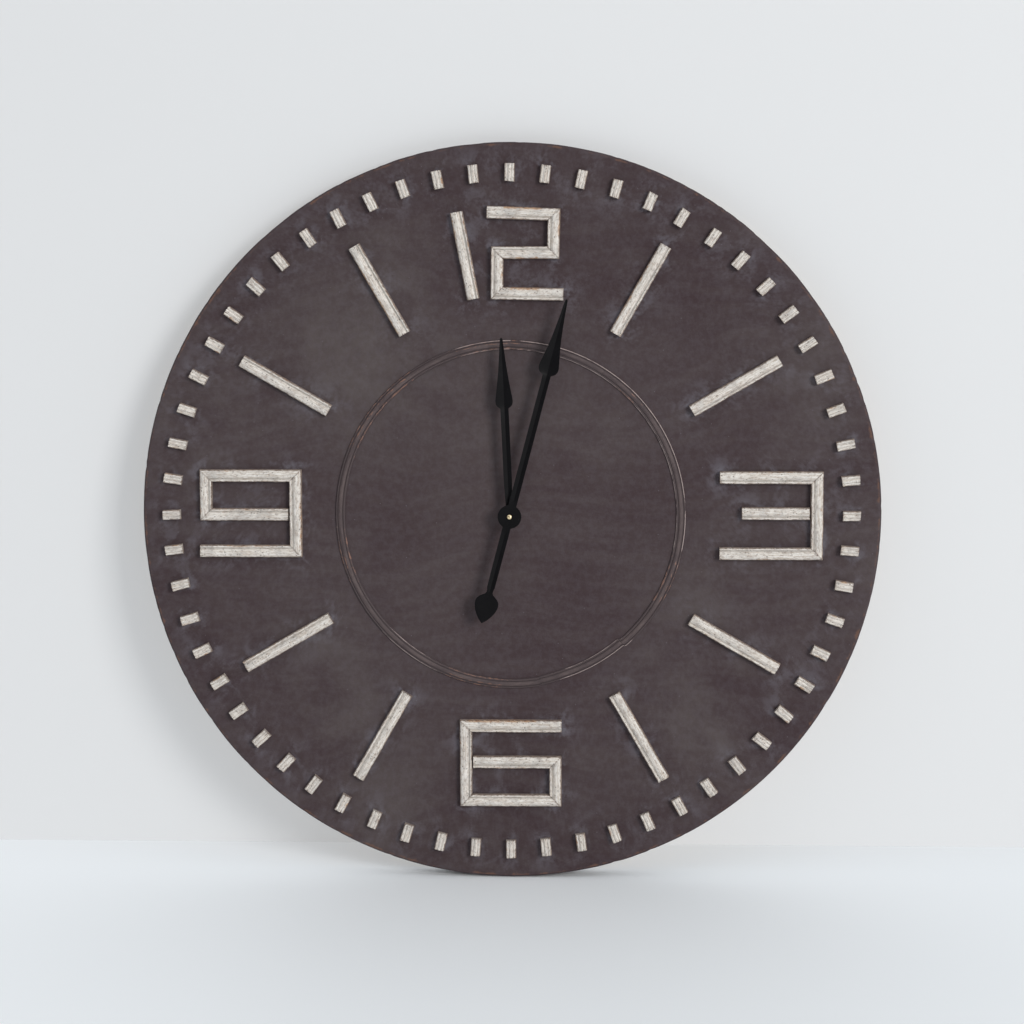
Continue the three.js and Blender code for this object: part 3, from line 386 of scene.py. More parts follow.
def pale_paint(name, base, glow=None):
    """Matt white paint. With a glow, it also shows from its front only."""
    material = bpy.data.materials.new(name)
    material.use_nodes = True
    tree = material.node_tree
    shader = tree.nodes["Principled BSDF"]
    drift = cloud(tree, own_place(tree), 1.3, 2.0)
    paler = colour(*(c * 1.03 for c in base))
    tree.links.new(mixed(tree, drift, colour(*base), paler), shader.inputs["Base Color"])
    shader.inputs["Roughness"].default_value = 0.6
    if glow:
        shader.inputs["Emission Color"].default_value = colour(*base)
        shader.inputs["Emission Strength"].default_value = glow
        side = add(tree, "ShaderNodeNewGeometry").outputs["Backfacing"]
        clear = add(tree, "ShaderNodeBsdfTransparent").outputs[0]
        both = add(tree, "ShaderNodeMixShader", {0: side, 1: shader.outputs[0], 2: clear}).outputs[0]
        tree.links.new(both, tree.nodes["Material Output"].inputs["Surface"])
    return material


def stage_sheet(name, corner, first, second, material):
    made = bmesh.new()
    square = ((0, 0), (1, 0), (1, 1), (0, 1))
    made.faces.new([made.verts.new(corner + first * i + second * j) for i, j in square])
    mesh = bpy.data.meshes.new(name)
    made.to_mesh(mesh)
    made.free()
    sheet = bpy.data.objects.new(name, mesh)
    bpy.context.scene.collection.objects.link(sheet)
    mesh.materials.append(material)
    return sheet


HALF_ROOM = 9.0
WALL_TALL = 5.0
FLOOR_WHITE = (0.86, 0.885, 0.905)
WALL_WHITE = (0.45, 0.457, 0.464)
WALL_GLOW = 0.66
across = Vector((2 * HALF_ROOM, 0, 0))
left_foot = foot - across / 2
behind = -out_of_wall * HALF_ROOM
stage_sheet("floor", left_foot + behind, across, -2 * behind, pale_paint("floor paint", FLOOR_WHITE))
wall = stage_sheet("wall", left_foot, across, up * WALL_TALL, pale_paint("wall paint", WALL_WHITE, WALL_GLOW))
wall.visible_shadow = False
wall.visible_diffuse = False
wall.visible_glossy = False
wall.visible_transmission = False
print("floor under the foot at", round(floor_height, 4), "wall corner at", [round(v, 3) for v in foot])

# %% Light
def soft_box(name, place, size, power, tint):
    data = bpy.data.lights.new(name, "AREA")
    data.shape = "RECTANGLE"
    data.size, data.size_y = size
    data.energy = power
    data.color = tint
    lamp = bpy.data.objects.new(name, data)
    bpy.context.scene.collection.objects.link(lamp)
    lamp.location = face_middle + Vector(place)
    lamp.rotation_mode = "QUATERNION"
    lamp.rotation_quaternion = (-Vector(place)).to_track_quat("-Z", "Y")
    return lamp


KEY_WAY = Vector((0.78, -1.0, 0.32)).normalized()
KEY_FAR = 14.0
KEY_SIZE = (4.6, 5.2)
KEY_WATTS = 1084.0
BACK_WATTS = 18.0
soft_box("window light", KEY_WAY * KEY_FAR, KEY_SIZE, KEY_WATTS, (1.0, 0.985, 0.965))
soft_box("room light behind", (-2.5, 3.6, 1.6), (3.0, 3.0), BACK_WATTS, (0.97, 0.985, 1.0))
ROOM_LOW = (0.05, 0.052, 0.055)
ROOM_HIGH = (0.89, 0.915, 0.94)
ROOM_SEEN = (0.76, 0.78, 0.80)


def pale_room():
    """A room that lights from above, and looks evenly pale."""
    room = bpy.data.worlds.new("pale room")
    room.use_nodes = True
    tree = room.node_tree
    way = add(tree, "ShaderNodeTexCoord").outputs["Generated"]
    height = add(tree, "ShaderNodeSeparateXYZ", {0: way}).outputs[2]
    lighting = mixed(tree, soft_step(tree, height, -0.1, 0.9), colour(*ROOM_LOW), colour(*ROOM_HIGH))
    seen = add(tree, "ShaderNodeLightPath").outputs["Is Camera Ray"]
    backdrop = mixed(tree, seen, lighting, colour(*ROOM_SEEN))
    tree.links.new(backdrop, tree.nodes["Background"].inputs["Color"])
    tree.nodes["Background"].inputs["Strength"].default_value = 1.0
    bpy.context.scene.world = room


pale_room()
bpy.context.scene.view_settings.view_transform = "Standard"
print("lit by a window light of", KEY_WATTS, "W and the room")

# %% [markdown]
# ## Chalk paint on the face
# The face was brushed with a dark brown-grey chalk paint and rubbed back with a cloth. The cloth leaves
# pale clouds and faint arcs, collects a cool haze round everything that stands proud, and takes the paint
# off the rim down to a red-brown ground. Three tones mixed by the shared clouds give the first, and
# marks stored on the panel's points tell the paint where the strips and the rim are.

# %% Finish of the face
DARK_PAINT = colour(0.0415, 0.0240, 0.0272)
PALE_PAINT = colour(0.118, 0.101, 0.096)
HAZE = colour(0.160, 0.150, 0.176)
RED_GROUND = colour(0.15, 0.078, 0.052)
BARE_BOARD = colour(0.34, 0.23, 0.135)


def strokes(tree, place):
    """Faint curved strokes of the cloth, which change direction over the face."""
    swirl = add(tree, "ShaderNodeTexNoise", {"Vector": place, "Scale": 2.6, "Detail": 1.0}).outputs["Color"]
    pushed = add(tree, "ShaderNodeVectorMath", {0: swirl, "Scale": 0.22}, operation="SCALE").outputs[0]
    bent = add(tree, "ShaderNodeVectorMath", {0: place, 1: pushed}, operation="ADD").outputs[0]
    first = cloud(tree, stretched(tree, bent, (7.0, 9.0, 60.0), (0.0, 0.75, 0.0)), 1.0, 5.0, 0.62)
    second = cloud(tree, stretched(tree, bent, (9.0, 9.0, 48.0), (0.0, -0.65, 0.0)), 1.0, 5.0, 0.62)
    share = soft_step(tree, cloud(tree, place, 4.5, 2.0), 0.42, 0.58)
    turned_one = figure(tree, "MULTIPLY", second, share)
    other_one = figure(tree, "MULTIPLY", first, figure(tree, "SUBTRACT", 1.0, share))
    return figure(tree, "ADD", turned_one, other_one)


def chalk_colour(tree):
    place = own_place(tree)
    broad = clouded(tree, place, 2.3, 0.36, 0.72)
    worked = figure(tree, "MULTIPLY", broad, figure(tree, "ADD", mark(tree, "rubbed"), 0.16), True)
    base = mixed(tree, worked, DARK_PAINT, PALE_PAINT)
    wiped = soft_step(tree, strokes(tree, place), 0.40, 0.66)
    base = glazed(tree, base, wiped, 0.13, PALE_PAINT)
    mottle = soft_step(tree, cloud(tree, place, 95.0, 6.0, 0.72), 0.38, 0.64)
    base = glazed(tree, base, mottle, 0.10, HAZE)
    smear = clouded(tree, place, 30.0, 0.47, 0.66)
    hazy = figure(tree, "MULTIPLY", mark(tree, "near_strip"), smear, True)
    base = glazed(tree, base, hazy, 0.66, HAZE)
    specks = pricked(tree, place, 170.0, 0.13, 0.05)
    base = glazed(tree, base, specks, 0.55, HAZE)
    worn = rubbed_off(tree, place, mark(tree, "rim"), 55.0, 0.5)
    base = glazed(tree, base, worn, 0.7, RED_GROUND)
    return mixed(tree, mark(tree, "bare"), base, board_colour(tree, place))


def board_colour(tree, place):
    fibres = cloud(tree, place, 900.0, 3.0, 0.7)
    patches = cloud(tree, place, 9.0, 3.0)
    base = mixed(tree, patches, BARE_BOARD, colour(0.40, 0.285, 0.175))
    return glazed(tree, base, fibres, 0.35, colour(0.20, 0.125, 0.07))


def chalk_rough(tree):
    place = own_place(tree)
    return soft_step(tree, cloud(tree, place, 12.0, 4.0), 0.3, 0.7, 0.62, 0.8)


def chalk_relief(tree):
    place = own_place(tree)
    brushed = strokes(tree, place)
    return figure(tree, "ADD", brushed, figure(tree, "MULTIPLY", cloud(tree, place, 420.0, 3.0), 0.5))


CHALK_FACE = new_finish("rubbed chalk paint", chalk_colour, chalk_rough, bump=chalk_relief, depth=0.25,
                        Specular_IOR_Level=0.3)

# %% [markdown]
# ## Where each strip lies
# The CAD solid of a strip gives its four foot corners, with the mitres already in them, and the side of
# its groove. A detailed strip can then be drawn between the two cut ends. The same corners tell the face
# where its haze belongs.

# %% Plans of the strips
STRIPS = [f"hour_bar_{h}" for h in (1, 2, 4, 5, 7, 8, 10, 11)]
STRIPS += ["three_top", "three_upright", "three_bottom", "three_middle"]
STRIPS += ["six_top", "six_left_upright", "six_bottom", "six_right_upright", "six_middle"]
STRIPS += ["nine_bottom", "nine_right_upright", "nine_top", "nine_left_upright", "nine_middle"]
STRIPS += ["two_top", "two_right_upright", "two_middle", "two_left_upright", "two_bottom", "one_strip"]
BUTTED = {"three_middle", "six_middle", "nine_middle"}
BUTT_GAP = 1.1 * MM


def strip_plan(node):
    """Foot corners of a strip: (band side start, lip side start), (band side end, lip side end)."""
    points = solid_points(node)
    back = max(p.y for p in points)
    feet = sorted({(round(p.x, 5), round(p.z, 5)) for p in points if back - p.y < 0.01 * MM})
    feet = [Vector(f) for f in feet]
    first = feet[0]
    feet.sort(key=lambda f: (f - first).length)
    start, end = feet[:2], feet[2:]
    way = (end[0] + end[1] - start[0] - start[1]).normalized()
    side = Vector((way.y, -way.x))
    start.sort(key=lambda f: side.dot(f))
    end.sort(key=lambda f: side.dot(f))
    tall = back - min(p.y for p in points)
    groove = [p for p in points if abs((back - p.y) / tall - 0.86) < 0.004]
    middle = side.dot(start[0] + start[1]) / 2
    lip_side = sum(side.dot(Vector((p.x, p.z))) - middle for p in groove)
    if lip_side < 0:
        start.reverse()
        end.reverse()
    if node in BUTTED:
        for corners, pull in ((start, way), (end, -way)):
            if abs(way.dot(corners[0] - corners[1])) < 0.5 * MM:
                for corner in corners:
                    corner += pull * BUTT_GAP
    return start, end


plans = {node: strip_plan(node) for node in STRIPS}
longest = max(plans.values(), key=lambda plan: (plan[1][0] - plan[0][0]).length)
print(len(plans), "strips, the longest", round((longest[1][0] - longest[0][0]).length, 4), "m")

# %% [markdown]
# ## The panel
# A disc sawn from board, 10 mm thick, with its front edge eased by sandpaper. It could be a cylinder with
# a bevel, but a sanded edge is never even, and the paint needs points close together to know how near
# each strip is. So the panel is turned from a profile with many steps, its rim nibbled a little, and
# each point is given its marks.

# %% Turned panel
PANEL_STEPS = 480
HOLE_R = 4.3 * MM
EASE = 3.0 * MM
BLOCK_COUNT = 60
block_points = [p for p in solid_points("dial_panel") if p.y - panel_low.y < 0.01 * MM]
BLOCK_IN = min(radius_of(p) for p in block_points)
BLOCK_OUT = max(radius_of(p) for p in block_points)
thick = panel_high.y - FACE_Y
PANEL_RINGS = 136
BLOCK_FOOT_W = 14.3 * MM
HAZE_REACH = 13 * MM
END_HAZE = 0.55  # how much more haze gathers at the ends of a strip
RIM_WEAR = 0.52
RIM_WEAR_IN = 4 * MM  # how far inside the rim the wear is strongest
RIM_WEAR_WIDE = 3.5 * MM
RUBBED_PLACES = [  # clockwise degrees, radius, spread, strength: where the cloth was used most
    (318, 0.30, 0.11, 0.8), (338, 0.40, 0.08, 0.5), (128, 0.36, 0.13, 0.75), (152, 0.43, 0.09, 0.5),
    (232, 0.38, 0.13, 0.65), (205, 0.44, 0.08, 0.4), (62, 0.42, 0.10, 0.4), (285, 0.45, 0.09, 0.45),
    (20, 0.12, 0.12, 0.25), (100, 0.47, 0.07, 0.5),
]


def panel_profile():
    """Radius, height above the face and how much the rim may be nibbled there."""
    loop = [(HOLE_R, 0.0, 0.0)]
    for i in range(1, PANEL_RINGS):
        loop.append((HOLE_R + (DIAL_R - EASE - HOLE_R) * i / PANEL_RINGS, 0.0, 0.0))
    for i in range(7):
        a = math.radians(15 * i)
        loop.append((DIAL_R - EASE + EASE * math.sin(a), -EASE + EASE * math.cos(a), math.sin(a)))
    loop.append((DIAL_R, -thick * 0.6, 1.0))
    loop.append((DIAL_R, -thick + 0.6 * MM, 0.6))
    loop.append((DIAL_R - 0.6 * MM, -thick, 0.0))
    loop += [(r * DIAL_R, -thick, 0.0) for r in (0.9, 0.7, 0.5, 0.3, 0.1)]
    loop.append((HOLE_R, -thick, 0.0))
    return loop


def distance_to_plan(x, z, corners):
    """Distance from many points to the quadrilateral of a strip's foot."""
    ring = [corners[0][0], corners[0][1], corners[1][1], corners[1][0]]
    best = np.full(x.shape, 9.0)
    inside = np.ones(x.shape, bool)
    middle = sum(ring, Vector((0, 0))) / 4
    for a, b in zip(ring, ring[1:] + ring[:1]):
        run = b - a
        share = np.clip(((x - a.x) * run.x + (z - a.y) * run.y) / run.length_squared, 0, 1)
        best = np.minimum(best, np.hypot(x - a.x - share * run.x, z - a.y - share * run.y))
        turn = run.x * (middle.y - a.y) - run.y * (middle.x - a.x)
        inside &= (run.x * (z - a.y) - run.y * (x - a.x)) * turn > 0
    return np.where(inside, 0.0, best)


def block_plan(i, width):
    corners = []
    for radius in (BLOCK_IN, BLOCK_OUT):
        middle = on_dial(360 / BLOCK_COUNT * i, radius)
        side = on_dial(360 / BLOCK_COUNT * i + 90, width / 2) - face_middle
        corners.append([Vector((p.x, p.z)) for p in (middle - side, middle + side)])
    return corners


def rim_wear(radius):
    return RIM_WEAR * math.exp(-((DIAL_R - RIM_WEAR_IN - radius) / RIM_WEAR_WIDE) ** 2)


def spot(flat, x, z, spread):
    """1 at a place on the face, fading round it over the spread."""
    return np.exp(-((flat[:, 0] - x) ** 2 + (flat[:, 2] - z) ** 2) / spread ** 2)


def make_panel():
    profile = panel_profile()
    rings, rim = [], []
    for i in range(PANEL_STEPS):
        degrees = 360 * i / PANEL_STEPS
        a = math.radians(degrees)
        nibble = max(0.0, ripple(9 * math.cos(a), 9 * math.sin(a), 3) + 0.1) * 0.7 * MM
        nibble += max(0.0, ripple(60 * math.cos(a), 60 * math.sin(a), 7) - 0.15) * 1.4 * MM
        rings.append([on_dial(degrees, r - nibble * share, h) for r, h, share in profile])
        rim += [rim_wear(r) if h > -thick else 0.0 for r, h, share in profile]
    flat = np.array([p for ring in rings for p in ring])
    near = np.full(len(flat), 9.0)
    for plan in list(plans.values()) + [block_plan(i, BLOCK_FOOT_W) for i in range(BLOCK_COUNT)]:
        near = np.minimum(near, distance_to_plan(flat[:, 0], flat[:, 2], plan))
    on_face = flat[:, 1] < FACE_Y + 0.1 * MM
    haze = np.where(on_face, np.exp(-near / HAZE_REACH), 0.0)
    for start, end in plans.values():
        for corners in (start, end):
            place = (corners[0] + corners[1]) / 2
            haze += END_HAZE * spot(flat, place.x, place.y, HAZE_REACH)
    haze = np.where(on_face, haze, 0.0)
    bare = (flat[:, 1] > panel_high.y - 0.1 * MM).astype(float)
    rubbed = np.zeros(len(flat))
    for degrees, radius, spread, strength in RUBBED_PLACES:
        place = on_dial(degrees, radius)
        rubbed += strength * spot(flat, place.x, place.z, spread)
    marks = {"near_strip": haze, "rim": np.array(rim), "bare": bare, "rubbed": rubbed}
    return skin("painted_panel", rings, marks, round_trip=True)


painted_panel = fit(make_panel(), "clock_case", CHALK_FACE, "face_paint", "dial_panel")
print("panel", len(painted_panel.data.vertices), "points")
print("blocks from", round(BLOCK_IN, 4), "to", round(BLOCK_OUT, 4))

# %% [markdown]
# ## Cream chalk paint on the strips
# The strips are softwood moulding with a wide soft band, a fine groove and a narrow lip, painted a warm
# cream and rubbed hard. The groove is painted darker grey, partly dirt and partly painted shade, and the
# flanks dark brown the same way. Paint comes off the outer arrises in patches down to orange-brown wood,
# and shows small pits. The same finish is used on the minute blocks.

# %% Finish of the strips
CREAM = colour(0.79, 0.76, 0.715)
CREAM_WARM = colour(0.53, 0.45, 0.37)
CREAM_GREY = colour(0.40, 0.38, 0.36)
GROOVE_DIRT_AND_SHADE = colour(0.27, 0.245, 0.22)
NICK_DARK = colour(0.11, 0.070, 0.055)
FLANK_DIRT_AND_SHADE = colour(0.15, 0.105, 0.085)
DUSTY_BROWN = colour(0.31, 0.225, 0.175)
WORN_WOOD = colour(0.36, 0.185, 0.10)
PALE_WOOD = colour(0.55, 0.40, 0.27)
PIT_DARK = colour(0.075, 0.055, 0.045)


def laid(tree):
    """Place on a strip: along it, then across its unrolled section, in metres."""
    return mark(tree, "laid", "Vector")


def strip_pits(tree, place):
    return pricked(tree, stretched(tree, place, (0.6, 1.0, 1.0)), 430.0, 0.34, 0.30)


def cream_colour(tree):
    place = laid(tree)
    long_place = stretched(tree, place, (0.42, 1.0, 1.0))
    streaks = cloud(tree, stretched(tree, place, (30.0, 900.0, 900.0)), 1.0, 4.0, 0.6)
    base = mixed(tree, soft_step(tree, streaks, 0.38, 0.72), CREAM, CREAM_WARM)
    thin = clouded(tree, place, 42.0, 0.44, 0.66)
    base = glazed(tree, base, thin, 0.55, CREAM_GREY)
    mottle = soft_step(tree, cloud(tree, long_place, 330.0, 4.0, 0.7), 0.46, 0.66)
    base = glazed(tree, base, mottle, 0.55, DUSTY_BROWN)
    # painted shade: the groove is glazed darker grey, partly dirt and partly the shade that falls in it
    base = glazed(tree, base, mark(tree, "groove"), 0.6, GROOVE_DIRT_AND_SHADE)
    # painted shade: the flanks below the planed front are glazed dark brown, partly dirt and partly the shade
    # they stand in
    base = glazed(tree, base, mark(tree, "flank"), 0.82, FLANK_DIRT_AND_SHADE)
    arris = mark(tree, "arris")
    thin_edge = rubbed_off(tree, long_place, figure(tree, "MULTIPLY", arris, 0.34), 300.0, 0.2)
    base = glazed(tree, base, thin_edge, 0.75, DUSTY_BROWN)
    bare = rubbed_off(tree, long_place, mark(tree, "worn"), 260.0, 0.23)
    fibres = soft_step(tree, cloud(tree, long_place, 420.0, 4.0, 0.7), 0.42, 0.6)
    wood = mixed(tree, fibres, WORN_WOOD, PALE_WOOD)
    base = glazed(tree, base, bare, 0.92, wood)
    nicks = rubbed_off(tree, long_place, figure(tree, "MULTIPLY", arris, 0.17), 560.0, 0.13)
    base = glazed(tree, base, nicks, 0.85, NICK_DARK)
    pits = strip_pits(tree, place)
    pitted = figure(tree, "MULTIPLY", pits, soft_step(tree, cloud(tree, place, 60.0), 0.38, 0.54))
    return glazed(tree, base, pitted, 0.85, PIT_DARK)


def cream_relief(tree):
    place = laid(tree)
    brush = cloud(tree, stretched(tree, place, (45.0, 1500.0, 1500.0)), 1.0, 3.0, 0.6)
    lumps = cloud(tree, place, 260.0, 3.0)
    pits = strip_pits(tree, place)
    raised = figure(tree, "ADD", figure(tree, "MULTIPLY", brush, 0.5), figure(tree, "MULTIPLY", lumps, 0.5))
    return figure(tree, "SUBTRACT", raised, figure(tree, "MULTIPLY", pits, 0.8))


CREAM_CHALK = new_finish("worn cream chalk paint", cream_colour, 0.72, bump=cream_relief, depth=0.3)

# %% [markdown]
# ## The moulding
# A joiner would run this section with one cutter and saw it to length. Here the section is drawn once as
# shares of the width and height, and a skin is laid over it from one cut end to the other, with a ring
# every two millimetres. Each ring is nudged sideways and its arrises are nibbled by noise, because the
# real strips have wavy, chipped edges that a straight sweep doesn't have.

# %% The moulding's section and a strip
SECTION = [
    (-0.5, 0.0), (-0.5, 0.40), (-0.494, 0.56), (-0.475, 0.68), (-0.44, 0.785), (-0.39, 0.865), (-0.33, 0.925),
    (-0.25, 0.97), (-0.16, 0.995), (-0.07, 1.0), (0.02, 0.98), (0.09, 0.935), (0.14, 0.87), (0.18, 0.79),
    (0.215, 0.73), (0.25, 0.715), (0.28, 0.75), (0.305, 0.83), (0.335, 0.885), (0.375, 0.905), (0.42, 0.885),
    (0.458, 0.83), (0.484, 0.74), (0.497, 0.62), (0.5, 0.45), (0.5, 0.0),
]
BLOCK_SECTION = [
    (-0.5, 0.0), (-0.5, 0.45), (-0.49, 0.62), (-0.465, 0.75), (-0.42, 0.84), (-0.36, 0.885), (-0.29, 0.89),
    (-0.235, 0.855), (-0.2, 0.835), (-0.165, 0.865), (-0.12, 0.93), (-0.06, 0.97), (0.0, 0.98), (0.06, 0.97),
    (0.12, 0.93), (0.165, 0.865), (0.2, 0.835), (0.235, 0.855), (0.29, 0.89), (0.36, 0.885), (0.42, 0.84),
    (0.465, 0.75), (0.49, 0.62), (0.5, 0.45), (0.5, 0.0),
]
RING_EVERY = 2.0 * MM
STRIP_W_MM, STRIP_H_MM = 17, 10
SAWN_SIDE = 0.38  # height share above which a point belongs to the planed front


def section_marks(section):
    """How far round the section each point lies, and how much it is arris or groove."""
    run, far = [0.0], 0.0
    for (u0, h0), (u1, h1) in zip(section, section[1:]):
        far += math.hypot((u1 - u0) * STRIP_W_MM, (h1 - h0) * STRIP_H_MM) * MM
        run.append(far)
    arris = [max(0.0, 1 - abs(abs(u) - 0.475) / 0.10) * (h > SAWN_SIDE) for u, h in section]
    valley = 0.2 if section is BLOCK_SECTION else 0.245
    sides = (1, -1) if section is BLOCK_SECTION else (1,)
    depth = 0.55 if section is BLOCK_SECTION else 1.0
    near = [max(max(0.0, 1 - abs(u - k * valley) / 0.075) for k in sides) for u, h in section]
    groove = [depth * close * (h < 0.95) for close, (u, h) in zip(near, section)]
    flank = [max(0.0, min(1.0, (0.66 - h) / 0.25)) for u, h in section]
    return run, arris, groove, flank


def make_strip(name, plan, seed, worn=(), waviness=0.35 * MM, nibbling=1.0, section=SECTION):
    """A moulding strip over its plan. worn lists (side, from, to, amount) along the strip."""
    (band0, lip0), (band1, lip1) = plan
    length = ((band1 + lip1) - (band0 + lip0)).length / 2
    way = ((band1 + lip1) - (band0 + lip0)).normalized()
    side = Vector((way.y, -way.x))
    if side.dot(lip0 - band0) < 0:
        side = -side
    run, arris, groove, flank = section_marks(section)
    count = max(6, math.ceil(length / RING_EVERY))
    rings, marks = [], {"laid": [], "arris": [], "groove": [], "flank": [], "worn": []}
    for i in range(count + 1):
        t = i / count
        far = t * length
        ring = []
        for k, (u, h) in enumerate(section):
            s = u + 0.5
            foot = band0.lerp(lip0, s).lerp(band1.lerp(lip1, s), t)
            edge = abs(u) * 2
            wave = ripple(far * 45, seed + 9.0 * (u > 0)) * waviness * edge
            bite = max(0.0, ripple(far * 190, seed + 31 * (u > 0), k * 0.05) - 0.12)
            chip = bite * nibbling * MM * arris[k]
            inward = -math.copysign(chip * 0.8, u)
            foot = foot + side * (wave + inward)
            tall = STRIP_TOP * h - chip * (h > 0.5) - abs(ripple(far * 60, seed, u * 6)) * 0.12 * MM * (h > 0)
            ring.append(Vector((foot.x, FACE_Y - tall, foot.y)))
            end_wear = math.exp(-min(far, length - far) / (1.6 * MM)) * (h > SAWN_SIDE)
            patch = 0.0
            for which, start, stop, amount in worn:
                reach = max(0.0, 1 - max(start - t, t - stop, 0.0) / 0.06)
                here = max(0.0, 1 - abs(u - which * 0.44) / 0.26) * (h > 0.25)
                patch = max(patch, 1.45 * amount * reach * here)
            marks["laid"].append((far + seed * 0.37, run[k] + seed * 0.11, 0.0))
            marks["arris"].append(max(arris[k], end_wear * 0.55))
            marks["groove"].append(groove[k])
            marks["flank"].append(flank[k])
            marks["worn"].append(patch)
        rings.append(ring)
    return skin(name, rings, marks, sharp_degrees=50)


# %% [markdown]
# ## Numerals and hour bars
# Each strip keeps the wear it has gathered: most is on the outer arris of the band, and a few strips are
# worn right down. The list gives a side, -1 for the band's and 1 for the lip's, and from where to where.

# %% Laying the strips
WEAR = {
    "hour_bar_1": [(-1, 0.1, 0.8, 0.17)],
    "hour_bar_2": [(-1, 0.3, 0.5, 0.1)],
    "hour_bar_4": [(1, 0.2, 0.6, 0.1), (-1, 0.8, 1.0, 0.12)],
    "hour_bar_5": [(-1, 0.1, 0.3, 0.13)],
    "hour_bar_7": [(-1, 0.4, 0.9, 0.12)],
    "hour_bar_8": [(1, 0.0, 0.4, 0.12)],
    "hour_bar_10": [(1, 0.1, 0.6, 0.13)],
    "hour_bar_11": [(-1, 0.2, 0.95, 0.2), (1, 0.5, 0.7, 0.12)],
    "two_top": [(-1, 0.25, 0.72, 0.27), (1, 0.4, 0.6, 0.12)],
    "two_right_upright": [(-1, 0.45, 0.95, 0.2)],
    "two_middle": [(-1, 0.25, 0.36, 0.24), (-1, 0.5, 0.62, 0.24)],
    "two_left_upright": [(-1, 0.2, 0.85, 0.16)],
    "two_bottom": [(-1, 0.15, 0.6, 0.27)],
    "one_strip": [(1, 0.1, 0.9, 0.14), (-1, 0.0, 0.3, 0.13)],
    "three_top": [(-1, 0.3, 0.7, 0.14)],
    "three_upright": [(-1, 0.2, 0.8, 0.12)],
    "six_top": [(-1, 0.1, 0.75, 0.24), (1, 0.5, 0.8, 0.12)],
    "six_left_upright": [(-1, 0.3, 0.8, 0.13)],
    "six_middle": [(1, 0.2, 0.7, 0.12)],
    "nine_bottom": [(1, 0.3, 0.8, 0.14)],
    "nine_top": [(-1, 0.2, 0.5, 0.13)],
    "nine_right_upright": [(-1, 0.1, 0.6, 0.17)],
    "nine_left_upright": [(-1, 0.1, 0.9, 0.13)],
    "nine_middle": [(1, 0.1, 0.6, 0.14)],
}
LIGHT_WEAR = [(-1, 0.3, 0.6, 0.1)]
for number, node in enumerate(STRIPS):
    strip = make_strip(node + "_moulding", plans[node], 3.7 * number + 1.3, WEAR.get(node, LIGHT_WEAR))
    fit(strip, "clock_case", CREAM_CHALK, "strip_paint", node)
print("laid", len(STRIPS), "strips")

# %% [markdown]
# ## Minute blocks
# Sixty slices of moulding, glued by hand with a spacer, so no two sit quite alike. A copy of one
# block turned sixty times would look stamped. Each block is drawn by the strip's own function, with a
# little chance in its angle, its length and its twist. The chance is seeded, so the clock is the same
# every time.

# %% Gluing the blocks
BLOCK_W = 13.9 * MM
chance = random.Random(60)


def scattered_block_plan(i):
    degrees = 360 / BLOCK_COUNT * i + chance.gauss(0, 0.05)
    middle = on_dial(degrees, (BLOCK_IN + BLOCK_OUT) / 2 + chance.gauss(0, 0.35 * MM))
    long = (BLOCK_OUT - BLOCK_IN) * chance.uniform(0.975, 1.015)
    wide = BLOCK_W * chance.uniform(0.955, 1.01)
    twist = math.radians(degrees + chance.gauss(0, 1.7))
    along = Vector((math.sin(twist), math.cos(twist)))
    side = Vector((along.y, -along.x))
    centre = Vector((middle.x, middle.z))
    ends = []
    for share in (-0.5, 0.5):
        slant = chance.gauss(0, 0.25 * MM)
        ends.append([centre + along * (share * long + slant * k) + side * (0.5 * wide * k) for k in (-1, 1)])
    return ends


for i in range(BLOCK_COUNT):
    side = chance.choice((-1, -1, 1))
    start = chance.uniform(0.0, 0.6)
    worn = [(side, start, start + chance.uniform(0.2, 0.6), chance.choice((0.08, 0.12, 0.16, 0.24)))]
    block = make_strip(f"minute_block_{i:02d}", scattered_block_plan(i), 200 + 1.9 * i, worn, 0.2 * MM, 0.8,
                       BLOCK_SECTION)
    fit(block, "clock_case", CREAM_CHALK, "strip_paint")
print("glued", BLOCK_COUNT, "blocks")

# %% [markdown]
# ## The bead ring
# A thin reeded bead is bent round the middle of the dial in four lengths that butt together. It is the
# same job as the strips, swept round a circle instead of along a line. The bending was done by eye, so
# the lengths drift in and out by a few millimetres and step where they meet. In places the cloth took the
# paint off its reeds down to a copper-brown ground. The lighter crowns of the reeds are a painted highlight,
# broken up by rubbed clouds, as is a pale line along the outer reeds; the deep reeds are darkened as painted
# shade.

# %% Finish of the bead
BEAD_DARK = colour(0.052, 0.035, 0.037)
BEAD_CROWN_HIGHLIGHT = colour(0.098, 0.070, 0.068)
BEAD_COPPER = colour(0.25, 0.130, 0.092)
BEAD_PAINTED_HIGHLIGHT = colour(0.42, 0.335, 0.315)


def bead_colour_and_painted_light(tree):
    place = laid(tree)
    rubbed = clouded(tree, stretched(tree, place, (0.4, 1.0, 1.0)), 60.0, 0.36, 0.62)
    # painted highlight: the high crowns of the reeds are lighter, broken up by rubbed clouds
    crown_highlight = figure(tree, "MULTIPLY", mark(tree, "crown_highlight"), rubbed)
    base = mixed(tree, crown_highlight, BEAD_DARK, BEAD_CROWN_HIGHLIGHT)
    # painted shade: the deep reeds are glazed near black
    base = glazed(tree, base, mark(tree, "groove"), 0.7, colour(0.035, 0.025, 0.025))
    short = stretched(tree, place, (0.35, 1.0, 1.0))
    copper = rubbed_off(tree, short, mark(tree, "worn"), 260.0, 0.30)
    base = glazed(tree, base, copper, 0.75, BEAD_COPPER)
    # painted highlight: a pale broken line along the outer reeds, strongest in the highlit spans
    line = rubbed_off(tree, short, mark(tree, "line"), 130.0, 0.30)
    return glazed(tree, base, line, 0.75, BEAD_PAINTED_HIGHLIGHT)


BEAD_PAINT_AND_LIGHT = new_finish("rubbed paint on the bead, painted highlight and shade", bead_colour_and_painted_light, 0.68, bump=cream_relief, depth=0.25)

